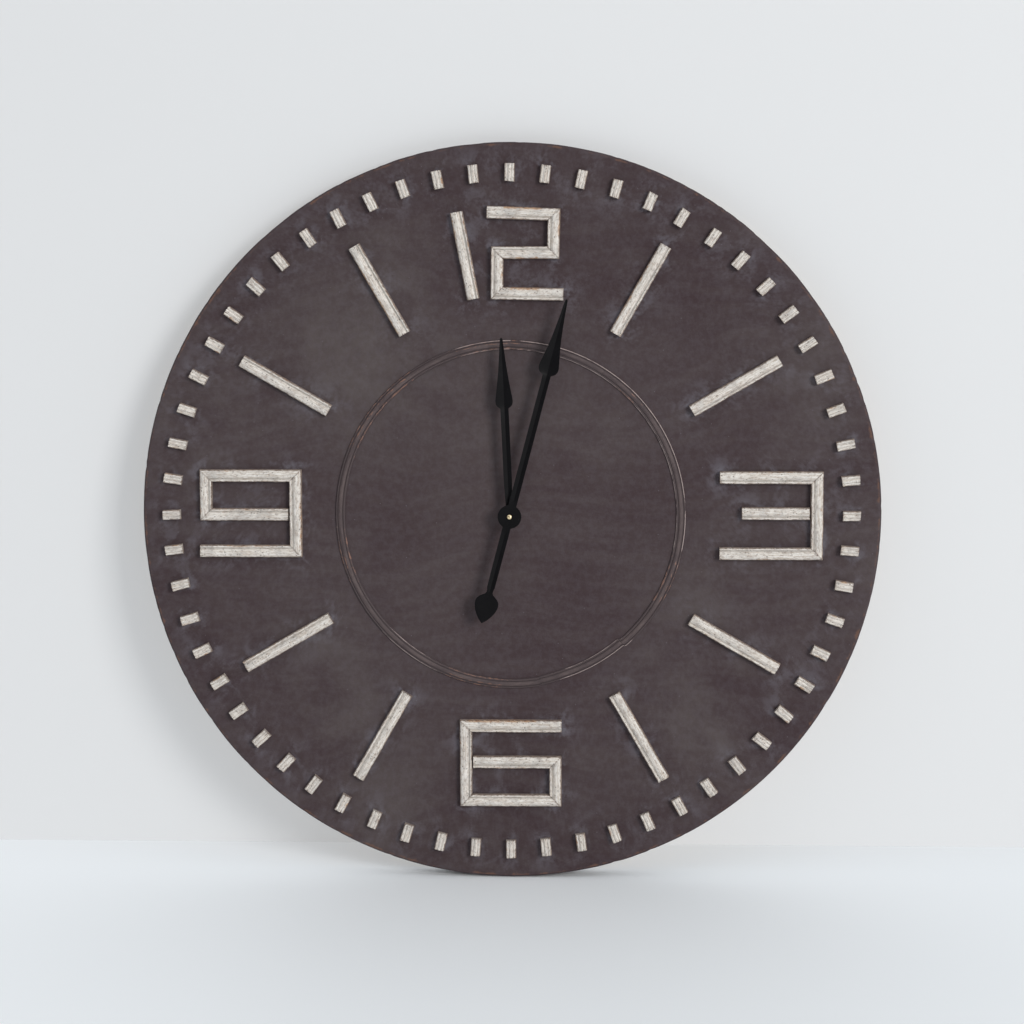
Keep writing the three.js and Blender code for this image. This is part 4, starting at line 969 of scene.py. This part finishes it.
# %% The bead's section and its lengths
BEAD_SECTION = [
    (0, 0), (0, 0.45), (0.06, 0.66), (0.13, 0.68), (0.18, 0.48), (0.23, 0.66), (0.32, 0.90), (0.45, 1.0),
    (0.58, 0.96), (0.68, 0.80), (0.73, 0.56), (0.78, 0.72), (0.86, 0.74), (0.94, 0.6), (1.0, 0.3), (1.0, 0),
]
BEAD_EVERY = 2.5 * MM
BEAD_FILL = 0.97  # how much of the CAD length's width the section fills
FADE = 9.0  # degrees over which a rubbed place fades out
REEDS_WORN = (1, 2, 6, 12, 13)  # points of the section that lose their paint first
REEDS_HIGHLIT = (1, 2, 13)
REEDS_DEEP_SHADED = (4, 10)
RUBBED_TO_COPPER = [(0, 4), (42, 46), (108, 118), (184, 200), (250, 262), (295, 322), (345, 360)]
# clockwise spans where the painted highlight line is strongest
HIGHLIGHT_LINE_SPANS = [(8, 82), (92, 100), (140, 160), (210, 222), (346, 360)]
DRIFT = [(0, -1.2), (6, -1.6), (33, -1.4), (80, -0.8), (120, 0.0), (138.9, 0.0), (139.1, -2.6), (162, -2.6),
         (169.9, -1.0), (170.1, 0.0), (210, -1.0), (300, -0.6), (350, -1.2), (360, -1.2)]


def within(degrees, spans):
    """1 inside any of the spans, fading to 0 outside them."""
    return max(max(0.0, 1 - max(a - degrees, degrees - b, 0.0) / FADE) for a, b in spans)


def bead_span(node):
    """Where a length of bead starts and ends, in clockwise degrees."""
    around = sorted(angle_of(p) for p in solid_points(node))
    gaps = [(b - a, b) for a, b in zip(around, around[1:] + [around[0] + 360])]
    widest, start = max(gaps)
    return start, start + 360 - widest


def make_bead(name, node, seed):
    start, end = bead_span(node)
    radii = [radius_of(p) for p in solid_points(node)]
    outer, wide = max(radii), max(radii) - min(radii)
    tall = FACE_Y - min(p.y for p in solid_points(node))
    count = math.ceil(math.radians(end - start) * outer / BEAD_EVERY)
    stops, shifts = zip(*DRIFT)
    rings, marks = [], {"laid": [], "crown_highlight": [], "groove": [], "worn": [], "line": []}
    for i in range(count + 1):
        degrees = start + (end - start) * i / count
        place = degrees % 360
        drift = np.interp(place, stops, shifts) * MM
        ring = []
        for k, (share, height) in enumerate(BEAD_SECTION):
            chip = max(0.0, ripple(degrees * 1.9, k * 0.3, seed) - 0.1) * 0.8 * MM * (height > 0.5)
            radius = outer + drift - wide * share * BEAD_FILL
            ring.append(on_dial(degrees, radius, tall * height - chip * 0.5))
            marks["laid"].append((math.radians(degrees) * outer + seed, wide * share, 0.0))
            # where the painted highlight goes: the higher a point stands, the more
            marks["crown_highlight"].append(max(0.0, (height - 0.6) / 0.4))
            # where the painted shade goes: the deep reeds
            marks["groove"].append(float(k in REEDS_DEEP_SHADED))
            grip = 0.24 if k in REEDS_WORN else 0.08
            marks["worn"].append(within(place, RUBBED_TO_COPPER) * grip + 0.05)
            marks["line"].append(within(place, HIGHLIGHT_LINE_SPANS) * 0.3 + 0.12 if k in REEDS_HIGHLIT else 0.0)
        rings.append(ring)
    return skin(name, rings, marks, sharp_degrees=60)


for number in (1, 2, 3, 4):
    node = f"bead_length_{number}"
    fit(make_bead(f"bent_bead_{number}", node, 5.3 * number), "clock_case", BEAD_PAINT_AND_LIGHT, "bead_paint", node)
print("bent 4 lengths of bead")

# %% [markdown]
# ## The hands
# Each hand is pressed from thin steel sheet with a valley fold down its middle: the arrow head and the
# shaft are folded, while the hub and the counterweight stay flat. A flat cut-out would look dead, as it
# is the fold that gives one light side and one dark side. A hand is drawn by stations along its middle
# line, each with a half width and how far its fold is set back.

# %% Finish of the hands
LACQUER = colour(0.0048, 0.0045, 0.0052)
LACQUER_DUSTY = colour(0.012, 0.0115, 0.0125)
LACQUER_SPECK = colour(0.09, 0.085, 0.085)


def black_colour(tree):
    place = own_place(tree)
    dust = clouded(tree, place, 30.0, 0.45, 0.75)
    base = glazed(tree, LACQUER, dust, 0.35, LACQUER_DUSTY)
    specks = pricked(tree, place, 420.0, 0.2, 0.03)
    return glazed(tree, base, specks, 0.3, LACQUER_SPECK)


def black_rough(tree):
    return soft_step(tree, cloud(tree, own_place(tree), 60.0, 4.0), 0.3, 0.7, 0.4, 0.56)


def fine_relief(tree):
    return cloud(tree, own_place(tree), 1500.0, 2.0)


HAND_BLACK = new_finish("satin black lacquer on steel", black_colour, black_rough,
                        bump=fine_relief, depth=0.03, Specular_IOR_Level=0.08)

# %% Folded hands
MINUTE_STATIONS = [
    (-149.0, 0.5, 0.0), (-147.5, 2.2, 0.0), (-144.0, 5.8, 0.0), (-140.0, 9.0, 0.0), (-135.0, 12.2, 0.0),
    (-130.0, 14.5, 0.0), (-125.0, 15.8, 0.0), (-121.0, 16.0, 0.0), (-117.0, 15.0, 0.0), (-113.5, 12.4, 0.0),
    (-111.0, 9.0, 0.0), (-108.5, 5.6, 0.1), (-106.0, 4.2, 0.3), (-103.0, 4.2, 0.9), (-99.0, 5.3, 1.4),
    (-60.0, 5.5, 1.5), (-26.0, 5.5, 1.5),
]
MINUTE_STATIONS += [(v, max(5.5, math.sqrt(max(0.0, 16.0 ** 2 - v * v))), max(0.0, (abs(v) - 14) / 12 * 1.5))
                    for v in (-20, -17, -15.1, -14, -12, -9, -6, -3, 0, 3, 6, 9, 12, 14, 15.1, 17, 20)]
MINUTE_STATIONS += [
    (26.0, 5.5, 1.5), (80.0, 5.5, 1.5), (140.0, 5.5, 1.5), (190.0, 5.5, 1.5), (196.5, 5.5, 1.6),
    (197.5, 7.2, 1.7),
    (198.8, 9.4, 1.8), (200.6, 11.4, 1.9), (203.0, 12.8, 2.1), (206.0, 13.5, 2.2), (209.0, 13.4, 2.2),
    (213.0, 12.7, 2.2), (222.0, 10.9, 2.1), (234.0, 8.7, 1.9), (248.0, 6.6, 1.6), (262.0, 5.0, 1.3),
    (276.0, 3.6, 1.0), (290.0, 2.5, 0.7), (297.0, 2.0, 0.5), (299.6, 1.6, 0.4), (300.7, 0.9, 0.3),
    (301.0, 0.3, 0.2),
]
HOUR_STATIONS = [(v, math.sqrt(max(0.0, 10.0 ** 2 - v * v)) + 0.3, 0.0)
                 for v in (-10, -9.5, -8.5, -7, -5, -2, 2, 5, 7, 8.4)]
HOUR_STATIONS += [
    (9.2, 4.2, 0.1), (14.0, 4.3, 0.8), (22.0, 4.7, 1.4), (50.0, 5.5, 1.5), (100.0, 5.5, 1.5),
    (140.0, 5.5, 1.5),
    (145.6, 5.5, 1.6), (146.6, 7.0, 1.7), (148.0, 8.8, 1.8), (150.0, 10.4, 1.9), (152.6, 11.3, 2.0),
    (156.0, 11.6, 2.1), (160.0, 11.2, 2.1), (168.0, 9.9, 2.0), (180.0, 8.1, 1.8), (194.0, 6.2, 1.6),
    (208.0, 4.7, 1.3), (220.0, 3.5, 0.9), (232.0, 2.4, 0.6), (238.0, 1.9, 0.4), (239.6, 1.1, 0.3),
    (240.0, 0.4, 0.2),
]
SHEET = 0.7  # thickness of the metal, mm


def hand_turn(node):
    """The clockwise angle a hand points at, from the tip of its CAD solid."""
    return angle_of(max(solid_points(node), key=radius_of))


def make_hand(name, node, stations):
    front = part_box(node)[0].y
    degrees = hand_turn(node)
    along = on_dial(degrees, 1) - face_middle
    side = on_dial(degrees + 90, 1) - face_middle
    centre = Vector((MIDDLE_X, front, MIDDLE_Z))
    rings = []
    for v, half, fold in stations:
        loop = [(-1.0, 0.0), (-0.5, fold * 0.5), (0.0, fold), (0.5, fold * 0.5), (1.0, 0.0),
                (1.0, SHEET), (0.0, SHEET + fold), (-1.0, SHEET)]
        spine = centre + along * v * MM
        rings.append([spine + side * half * u * MM + Vector((0, d * MM, 0)) for u, d in loop])
    return skin(name, rings, sharp_degrees=15)


def make_collet(name, node):
    low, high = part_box(node)
    middle = Vector((MIDDLE_X, 0, MIDDLE_Z))
    bore = min(radius_of(p) for p in solid_points(node)) + 0.1 * MM
    wide = bore + 2.0 * MM
    front = low.y + SHEET * MM
    flange = wide + 0.9 * MM
    loop = [(bore, front), (flange, front), (flange, front + 0.4 * MM), (wide, front + 0.7 * MM),
            (wide, high.y - 0.3 * MM), (wide - 0.3 * MM, high.y), (bore + 0.2 * MM, high.y),
            (bore, high.y - 0.2 * MM)]
    return turned(name, loop, 40, middle)


# %% [markdown]
# ## Brass and steel
# The nut, the collets, the bushing's nut and its washer are plain brass, dull from handling. The hanger
# is zinc-plated steel with a cloudy spangle. Both are metals with a rough, patchy surface, and small
# differences of roughness are what the eye reads as metal.

# %% Finishes of the metal pieces
BRASS_CLEAN = colour(0.90, 0.74, 0.47)
BRASS_DULL = colour(0.58, 0.43, 0.24)


def brass_colour(tree):
    dull = clouded(tree, own_place(tree), 160.0, 0.4, 0.7)
    return glazed(tree, BRASS_CLEAN, dull, 0.5, BRASS_DULL)


def metal_rough(tree):
    return soft_step(tree, cloud(tree, own_place(tree), 240.0, 4.0), 0.3, 0.7, 0.27, 0.46)


def zinc_colour(tree):
    place = own_place(tree)
    spangle = add(tree, "ShaderNodeTexVoronoi", {"Vector": place, "Scale": 330.0}).outputs["Color"]
    grey = mixed(tree, 0.78, spangle, colour(0.52, 0.53, 0.54))
    plain = add(tree, "ShaderNodeHueSaturation", {"Saturation": 0.05, "Color": grey}).outputs[0]
    stain = clouded(tree, place, 90.0, 0.5, 0.75)
    return glazed(tree, plain, stain, 0.45, colour(0.34, 0.32, 0.30))


BRASS = new_finish("handled brass", brass_colour, metal_rough, metallic=1.0, bump=fine_relief, depth=0.02)
ZINC = new_finish("zinc-plated steel", zinc_colour, metal_rough, metallic=0.9, bump=fine_relief, depth=0.03)

# %% Hands, collets and nut
for body, node, stations, word in (
    ("minute_arbor", "minute_hand", MINUTE_STATIONS, "minute"),
    ("hour_pipe", "hour_hand", HOUR_STATIONS, "hour"),
):
    fit(make_hand(f"folded_{word}_hand", node, stations), body, HAND_BLACK, "hand_black", node)
    fit(make_collet(f"{word}_hand_collet", node), body, BRASS, "brass")


def make_hand_nut():
    low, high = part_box("hand_nut")
    wide = (high.x - low.x) / 2
    deep = high.y - low.y
    hole = 0.8 * MM
    dome = [(0.97, 0.0), (1.0, 0.1), (1.0, 0.42), (0.96, 0.56), (0.86, 0.72), (0.70, 0.86), (0.50, 0.96)]
    loop = [(hole, high.y)] + [(wide * share, high.y - drop * deep) for share, drop in dome]
    loop += [(hole * 1.25, low.y), (hole, low.y + 0.06 * deep)]
    return turned("domed_hand_nut", loop, 48, Vector((MIDDLE_X, 0, MIDDLE_Z)))


fit(make_hand_nut(), "minute_arbor", BRASS, "brass", "hand_nut")
print("minute hand at", round(hand_turn("minute_hand"), 2), "hour hand at", round(hand_turn("hour_hand"), 2))

# %% [markdown]
# ## Pieces shaped like their CAD solid
# Rails, plates and moulded cases already have the right form in the CAD, but every arris there is a
# perfect knife edge, which no saw, press or mould leaves. A copy of the solid with its facets merged and
# its arrises rounded is enough for these, at a width that suits the material: over a millimetre for
# sawn wood, a few tenths for plastic and sheet metal.

# %% Eased copies
CORNER = 40  # degrees between two faces that count as a corner
SAME_PLACE = 1e-6
SAME_PLANE = 0.6  # degrees


def eased(node, name, width, finish, slot):
    made = bmesh.new()
    made.from_mesh(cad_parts[node].data)
    bmesh.ops.remove_doubles(made, verts=made.verts, dist=SAME_PLACE)
    bmesh.ops.dissolve_limit(made, angle_limit=math.radians(SAME_PLANE), verts=made.verts, edges=made.edges)
    piece = finished(name, made)
    rounding = piece.modifiers.new("eased arrises", "BEVEL")
    rounding.width = width * MM
    rounding.segments = 2
    rounding.limit_method = "ANGLE"
    rounding.angle_limit = math.radians(CORNER)
    return fit(piece, "clock_case", finish, slot, node)


# %% [markdown]
# ## Wood behind the panel
# Nobody sees the back once the clock hangs, so its wood stays bare. The ring frame is sawn in eight
# segments and glued end to end, each with its grain straight across the segment, and only its outer
# edge got a coat of the dark paint. Two pine rails cross it to carry the hanger and keep it round.

# %% Finish of the bare wood
PINE = colour(0.56, 0.40, 0.235)
PINE_LATE = colour(0.36, 0.215, 0.105)


def pine_colour(tree, place, painted=None):
    grain = placed_group(tree, GRAIN, Place=place, Scale=0.55)
    base = glazed(tree, PINE, grain["Bands"], 0.55, PINE_LATE)
    base = glazed(tree, base, grain["Pores"], 0.4, PINE_LATE)
    dusty = clouded(tree, place, 7.0, 0.42, 0.7)
    base = glazed(tree, base, dusty, 0.35, colour(0.44, 0.36, 0.27))
    if painted is None:
        return base
    brushed = figure(tree, "ADD", painted, figure(tree, "MULTIPLY", cloud(tree, place, 55.0), 0.5))
    return mixed(tree, soft_step(tree, brushed, 0.7, 0.85), base, DARK_PAINT)


def pine_relief(tree, place):
    return placed_group(tree, GRAIN, Place=place, Scale=0.55)["Pores"]


RAIL_WOOD = new_finish("sawn pine", lambda t: pine_colour(t, own_place(t)), 0.74,
                       bump=lambda t: pine_relief(t, own_place(t)), depth=0.15)
FRAME_WOOD = new_finish("sawn pine of the frame", lambda t: pine_colour(t, laid(t), mark(t, "painted")), 0.74,
                        bump=lambda t: pine_relief(t, laid(t)), depth=0.15)

# %% Ring frame and rails
SEGMENTS = 8
FRAME_EASE = 1.3 * MM
JOINT_NARROW = 0.12  # degrees on each side of a glued joint that are eased


def make_ring_frame():
    points = solid_points("rim_ring_frame")
    low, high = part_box("rim_ring_frame")
    outer = max(radius_of(p) for p in points)
    inner = min(radius_of(p) for p in points) + 0.2 * MM
    e = FRAME_EASE
    section = [(inner + e, low.y), (outer - e, low.y), (outer - 0.3 * e, low.y + 0.3 * e), (outer, low.y + e),
               (outer, high.y - e), (outer - 0.3 * e, high.y - 0.3 * e), (outer - e, high.y),
               (inner + e, high.y), (inner + 0.3 * e, high.y - 0.3 * e), (inner, high.y - e),
               (inner, low.y + e), (inner + 0.3 * e, low.y + 0.3 * e)]
    centre = ((inner + outer) / 2, (low.y + high.y) / 2)
    span = 360 / SEGMENTS
    turns = []
    stops = (0.0, JOINT_NARROW, *np.linspace(2, span - 2, 27), span - JOINT_NARROW, span)
    for s in range(SEGMENTS):
        turns += [(s, s * span + d, d in (0.0, span)) for d in stops]
    rings, marks = [], {"laid": [], "painted": []}
    for s, degrees, at_joint in turns:
        flat = on_dial((s + 0.5) * span + 90, 1) - face_middle
        out = on_dial((s + 0.5) * span, 1) - face_middle
        ring = []
        for r, y in section:
            pull = 0.985 if at_joint else 1.0
            r, y = centre[0] + (r - centre[0]) * pull, centre[1] + (y - centre[1]) * pull
            p = on_dial(degrees + (0.004 if at_joint and degrees == s * span else 0), r)
            p.y = y
            ring.append(p)
            way = p - face_middle
            marks["laid"].append((way.dot(flat) + 0.7 * s, way.dot(out) + 0.13 * s, y))
            marks["painted"].append(max(0.0, 1 - (outer - r) / (3 * MM)) if y < high.y - 0.4 * MM else 0.15)
        rings.append(ring)
    return skin("sawn_ring_frame", rings, marks, round_trip=True)


fit(make_ring_frame(), "clock_case", FRAME_WOOD, "bare_wood", "rim_ring_frame")
for rail in ("upper", "lower"):
    eased(f"{rail}_back_rail", f"{rail}_pine_rail", 1.3, RAIL_WOOD, "bare_wood")
print("framed the back in", SEGMENTS, "segments and 2 rails")

# %% [markdown]
# ## Hanger
# A stamped keyhole plate sits over a pocket in the upper rail. Its two screws have a cross in their
# heads, which is made by sinking the points of the head that lie in the arms of the cross.

# %% Keyhole plate and screws
eased("keyhole_hanger", "stamped_keyhole_plate", 0.25, ZINC, "zinc_steel")


def make_screw(name, node):
    low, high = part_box(node)
    middle = Vector(((low.x + high.x) / 2, 0, (low.z + high.z) / 2))
    head = (high.x - low.x) / 2
    tip = [p - middle for p in solid_points(node) if p.y - low.y < 0.2 * MM]
    shank = min(math.hypot(p.x, p.z) for p in tip)
    thick = 1.5 * MM
    profile = [(0.02 * MM, high.y)]
    profile += [(head * s / 12, high.y - 0.45 * thick * (s / 12) ** 3) for s in range(1, 12)]
    profile += [(head, high.y - 0.6 * thick), (head, high.y - 0.9 * thick), (head * 0.96, high.y - thick)]
    profile += [(shank, high.y - thick), (shank, low.y + 1.5 * MM), (0.02 * MM, low.y)]
    rings = []
    for i in range(64):
        a = math.tau * i / 64
        ring = []
        for r, y in profile:
            x, z = r * math.cos(a), r * math.sin(a)
            arm = min(abs(x), abs(z)) < 0.55 * MM and r < 0.62 * head and y > high.y - 0.4 * thick
            ring.append(middle + Vector((x, y - (0.9 * MM if arm else 0.0), z)))
        rings.append(ring)
    return skin(name, rings, round_trip=True)


for level in ("upper", "lower"):
    screw = make_screw(f"cross_head_screw_{level}", f"hanger_screw_{level}")
    fit(screw, "clock_case", ZINC, "zinc_steel", f"hanger_screw_{level}")
print("hanger plate with 2 screws")

# %% [markdown]
# ## Movement
# The movement is bought ready made, in a black moulded case with its battery in an open bay. Only the case,
# the cell, its contacts and the setting knob can be seen. The wheels inside keep their plain solids,
# which have the right teeth already, and are only given a finish.

# %% Finishes of the movement
CASE_BLACK = colour(0.014, 0.014, 0.015)
CASE_DUSTY = colour(0.045, 0.043, 0.042)


def black_plastic_colour(tree):
    dust = clouded(tree, own_place(tree), 45.0, 0.45, 0.75)
    return glazed(tree, CASE_BLACK, dust, 0.4, CASE_DUSTY)


def plastic_rough(tree):
    return soft_step(tree, cloud(tree, own_place(tree), 110.0, 3.0), 0.3, 0.7, 0.45, 0.62)


def spark_relief(tree):
    return cloud(tree, own_place(tree), 2600.0, 2.0, 0.7)


def gear_colour(tree):
    tint = cloud(tree, own_place(tree), 220.0)
    return mixed(tree, tint, colour(0.72, 0.69, 0.60), colour(0.80, 0.78, 0.71))


def board_green(tree):
    place = own_place(tree)
    tracks = add(tree, "ShaderNodeTexBrick", {"Vector": place, "Scale": 240.0, "Mortar Size": 0.12})
    return mixed(tree, tracks.outputs["Fac"], colour(0.03, 0.11, 0.05), colour(0.10, 0.22, 0.10))


def wire_turns_painted_shading(tree):
    feeds = {"Vector": own_place(tree), "Scale": 900.0, "Distortion": 0.6}
    # painted light and shade: lighter and darker copper bands stand for the lit crowns and shaded gaps of the
    # turns
    turns = add(tree, "ShaderNodeTexWave", feeds, bands_direction="X")
    return mixed(tree, turns.outputs["Fac"], colour(0.42, 0.16, 0.07), colour(0.78, 0.40, 0.22))


BLACK_PLASTIC = new_finish("moulded black plastic", black_plastic_colour, plastic_rough,
                           bump=spark_relief, depth=0.04)
GEAR_PLASTIC = new_finish("moulded gear plastic", gear_colour, plastic_rough, bump=spark_relief, depth=0.02)
BOARD = new_finish("printed circuit board", board_green, plastic_rough, bump=spark_relief, depth=0.03)
WIRE = new_finish("enamelled copper wire", wire_turns_painted_shading, metal_rough, metallic=0.85,
                  bump=fine_relief, depth=0.02)

# %% Battery cell and its sleeve
cell_low, cell_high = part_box("battery_cell")
CELL_MIDDLE = (cell_low + cell_high) / 2
CELL_R = (cell_high.y - cell_low.y) / 2


def sleeve_colour(tree):
    place = own_place(tree)
    along = add(tree, "ShaderNodeSeparateXYZ", {0: place}).outputs[0]
    third = figure(tree, "GREATER_THAN", along, cell_low.x + (cell_high.x - cell_low.x) * 0.7)
    tone = mixed(tree, third, colour(0.055, 0.10, 0.085), colour(0.50, 0.50, 0.48))
    scuffs = clouded(tree, place, 180.0, 0.55, 0.75)
    return glazed(tree, tone, scuffs, 0.3, colour(0.32, 0.32, 0.31))


SLEEVE = new_finish("printed battery sleeve", sleeve_colour, 0.32, metallic=0.35,
                    bump=fine_relief, depth=0.02)


def nub_side():
    """1 if the cell's positive nub points to +X, else -1."""
    far = [p for p in solid_points("battery_cell") if abs(p.x - cell_high.x) < 0.3 * MM]
    spread = max(abs(p.y - CELL_MIDDLE.y) for p in far)
    return 1 if spread < CELL_R * 0.6 else -1


def make_cell():
    half = (cell_high.x - cell_low.x) / 2
    r, e = CELL_R, 0.5 * MM
    nub, stands = 2.6 * MM, 1.3 * MM
    shoulder = half - stands
    dished = -half + 0.25 * MM
    loop = [(0.02 * MM, -half), (r * 0.55, -half), (r * 0.6, dished), (r * 0.86, dished),
            (r * 0.9, -half), (r - e, -half), (r - 0.3 * e, -half + 0.3 * e), (r, -half + e),
            (r, shoulder - e),
            (r - 0.3 * e, shoulder - 0.3 * e), (r - e, shoulder), (nub + 1.6 * MM, shoulder),
            (nub + 1.3 * MM, shoulder - 0.3 * MM), (nub, shoulder - 0.3 * MM), (nub, half - 0.3 * MM),
            (nub - 0.3 * MM, half), (0.02 * MM, half)]
    rings = []
    way = nub_side()
    for i in range(64):
        a = math.tau * i / 64
        ring = [Vector((way * x, q * math.cos(a), q * math.sin(a))) for q, x in loop]
        rings.append([CELL_MIDDLE + point for point in ring])
    return skin("sleeved_battery_cell", rings, round_trip=True)


fit(make_cell(), "clock_case", SLEEVE, "cell_sleeve", "battery_cell")

# %% Case, contacts, nuts and knob
for side in ("front", "cover"):
    eased(f"movement_case_{side}", f"moulded_case_{side}", 0.35, BLACK_PLASTIC, "case_plastic")
for end in ("positive", "negative"):
    eased(f"battery_contact_{end}", f"sprung_contact_{end}", 0.1, ZINC, "zinc_steel")
eased("fixing_nut", "chamfered_fixing_nut", 0.35, BRASS, "brass")
eased("dial_washer", "pressed_dial_washer", 0.15, BRASS, "brass")
print("eased the case, its contacts, the nut and the washer")

knob_low, knob_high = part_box("setting_knob")
KNOB_MIDDLE = Vector(((knob_low.x + knob_high.x) / 2, 0, (knob_low.z + knob_high.z) / 2))
KNOB_R = (knob_high.x - knob_low.x) / 2
KNOB_T = 3 * MM
RIDGES = 40


def make_knob_head():
    """A moulded knob with a ridged edge and a shallow dish in its back."""
    back = knob_high.y
    loop = [(0.02 * MM, back - 0.8 * MM), (KNOB_R * 0.62, back - 0.8 * MM), (KNOB_R * 0.68, back - 0.7 * MM),
            (KNOB_R * 0.72, back), (KNOB_R * 0.93, back), (KNOB_R, back - 0.35 * MM),
            (KNOB_R, back - KNOB_T + 0.35 * MM),
            (KNOB_R * 0.93, back - KNOB_T), (0.02 * MM, back - KNOB_T)]
    rings = []
    for i in range(RIDGES * 6):
        a = math.tau * i / (RIDGES * 6)
        cut = 0.45 * MM * max(0.0, math.sin(a * RIDGES))
        shape = [(r - cut if r > KNOB_R * 0.97 else r, y) for r, y in loop]
        rings.append([KNOB_MIDDLE + Vector((r * math.cos(a), y, r * math.sin(a))) for r, y in shape])
    return skin("ridged_knob_head", rings, round_trip=True)


def make_knob_shaft():
    """The rest of the knob: its CAD solid cut off under the head and closed again."""
    made = bmesh.new()
    made.from_mesh(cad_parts["setting_knob"].data)
    bmesh.ops.remove_doubles(made, verts=made.verts, dist=SAME_PLACE)
    everything = made.verts[:] + made.edges[:] + made.faces[:]
    under = Vector((0, knob_high.y - KNOB_T - 0.01 * MM, 0))
    cut = bmesh.ops.bisect_plane(made, geom=everything, plane_co=under, plane_no=(0, 1, 0), clear_outer=True)
    bmesh.ops.holes_fill(made, edges=[e for e in cut["geom_cut"] if isinstance(e, bmesh.types.BMEdge)])
    return finished("knob_shaft", made)


fit(make_knob_head(), "setting_knob", BLACK_PLASTIC, "case_plastic", "setting_knob")
fit(make_knob_shaft(), "setting_knob", BLACK_PLASTIC, "case_plastic")

# %% Finishes of the solids inside the case
MOULDED = ("hour_wheel", "minute_wheel", "third_wheel", "seconds_wheel", "intermediate_wheel", "rotor")
INSIDE = {node: GEAR_PLASTIC for node in MOULDED}
INSIDE.update({"centre_wheel": BRASS, "stator": ZINC, "coil": WIRE, "circuit_board": BOARD})
for node, finish in INSIDE.items():
    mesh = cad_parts[node].data
    mesh.materials.clear()
    mesh.materials.append(finish)
print("finished", len(INSIDE), "solids inside the case")
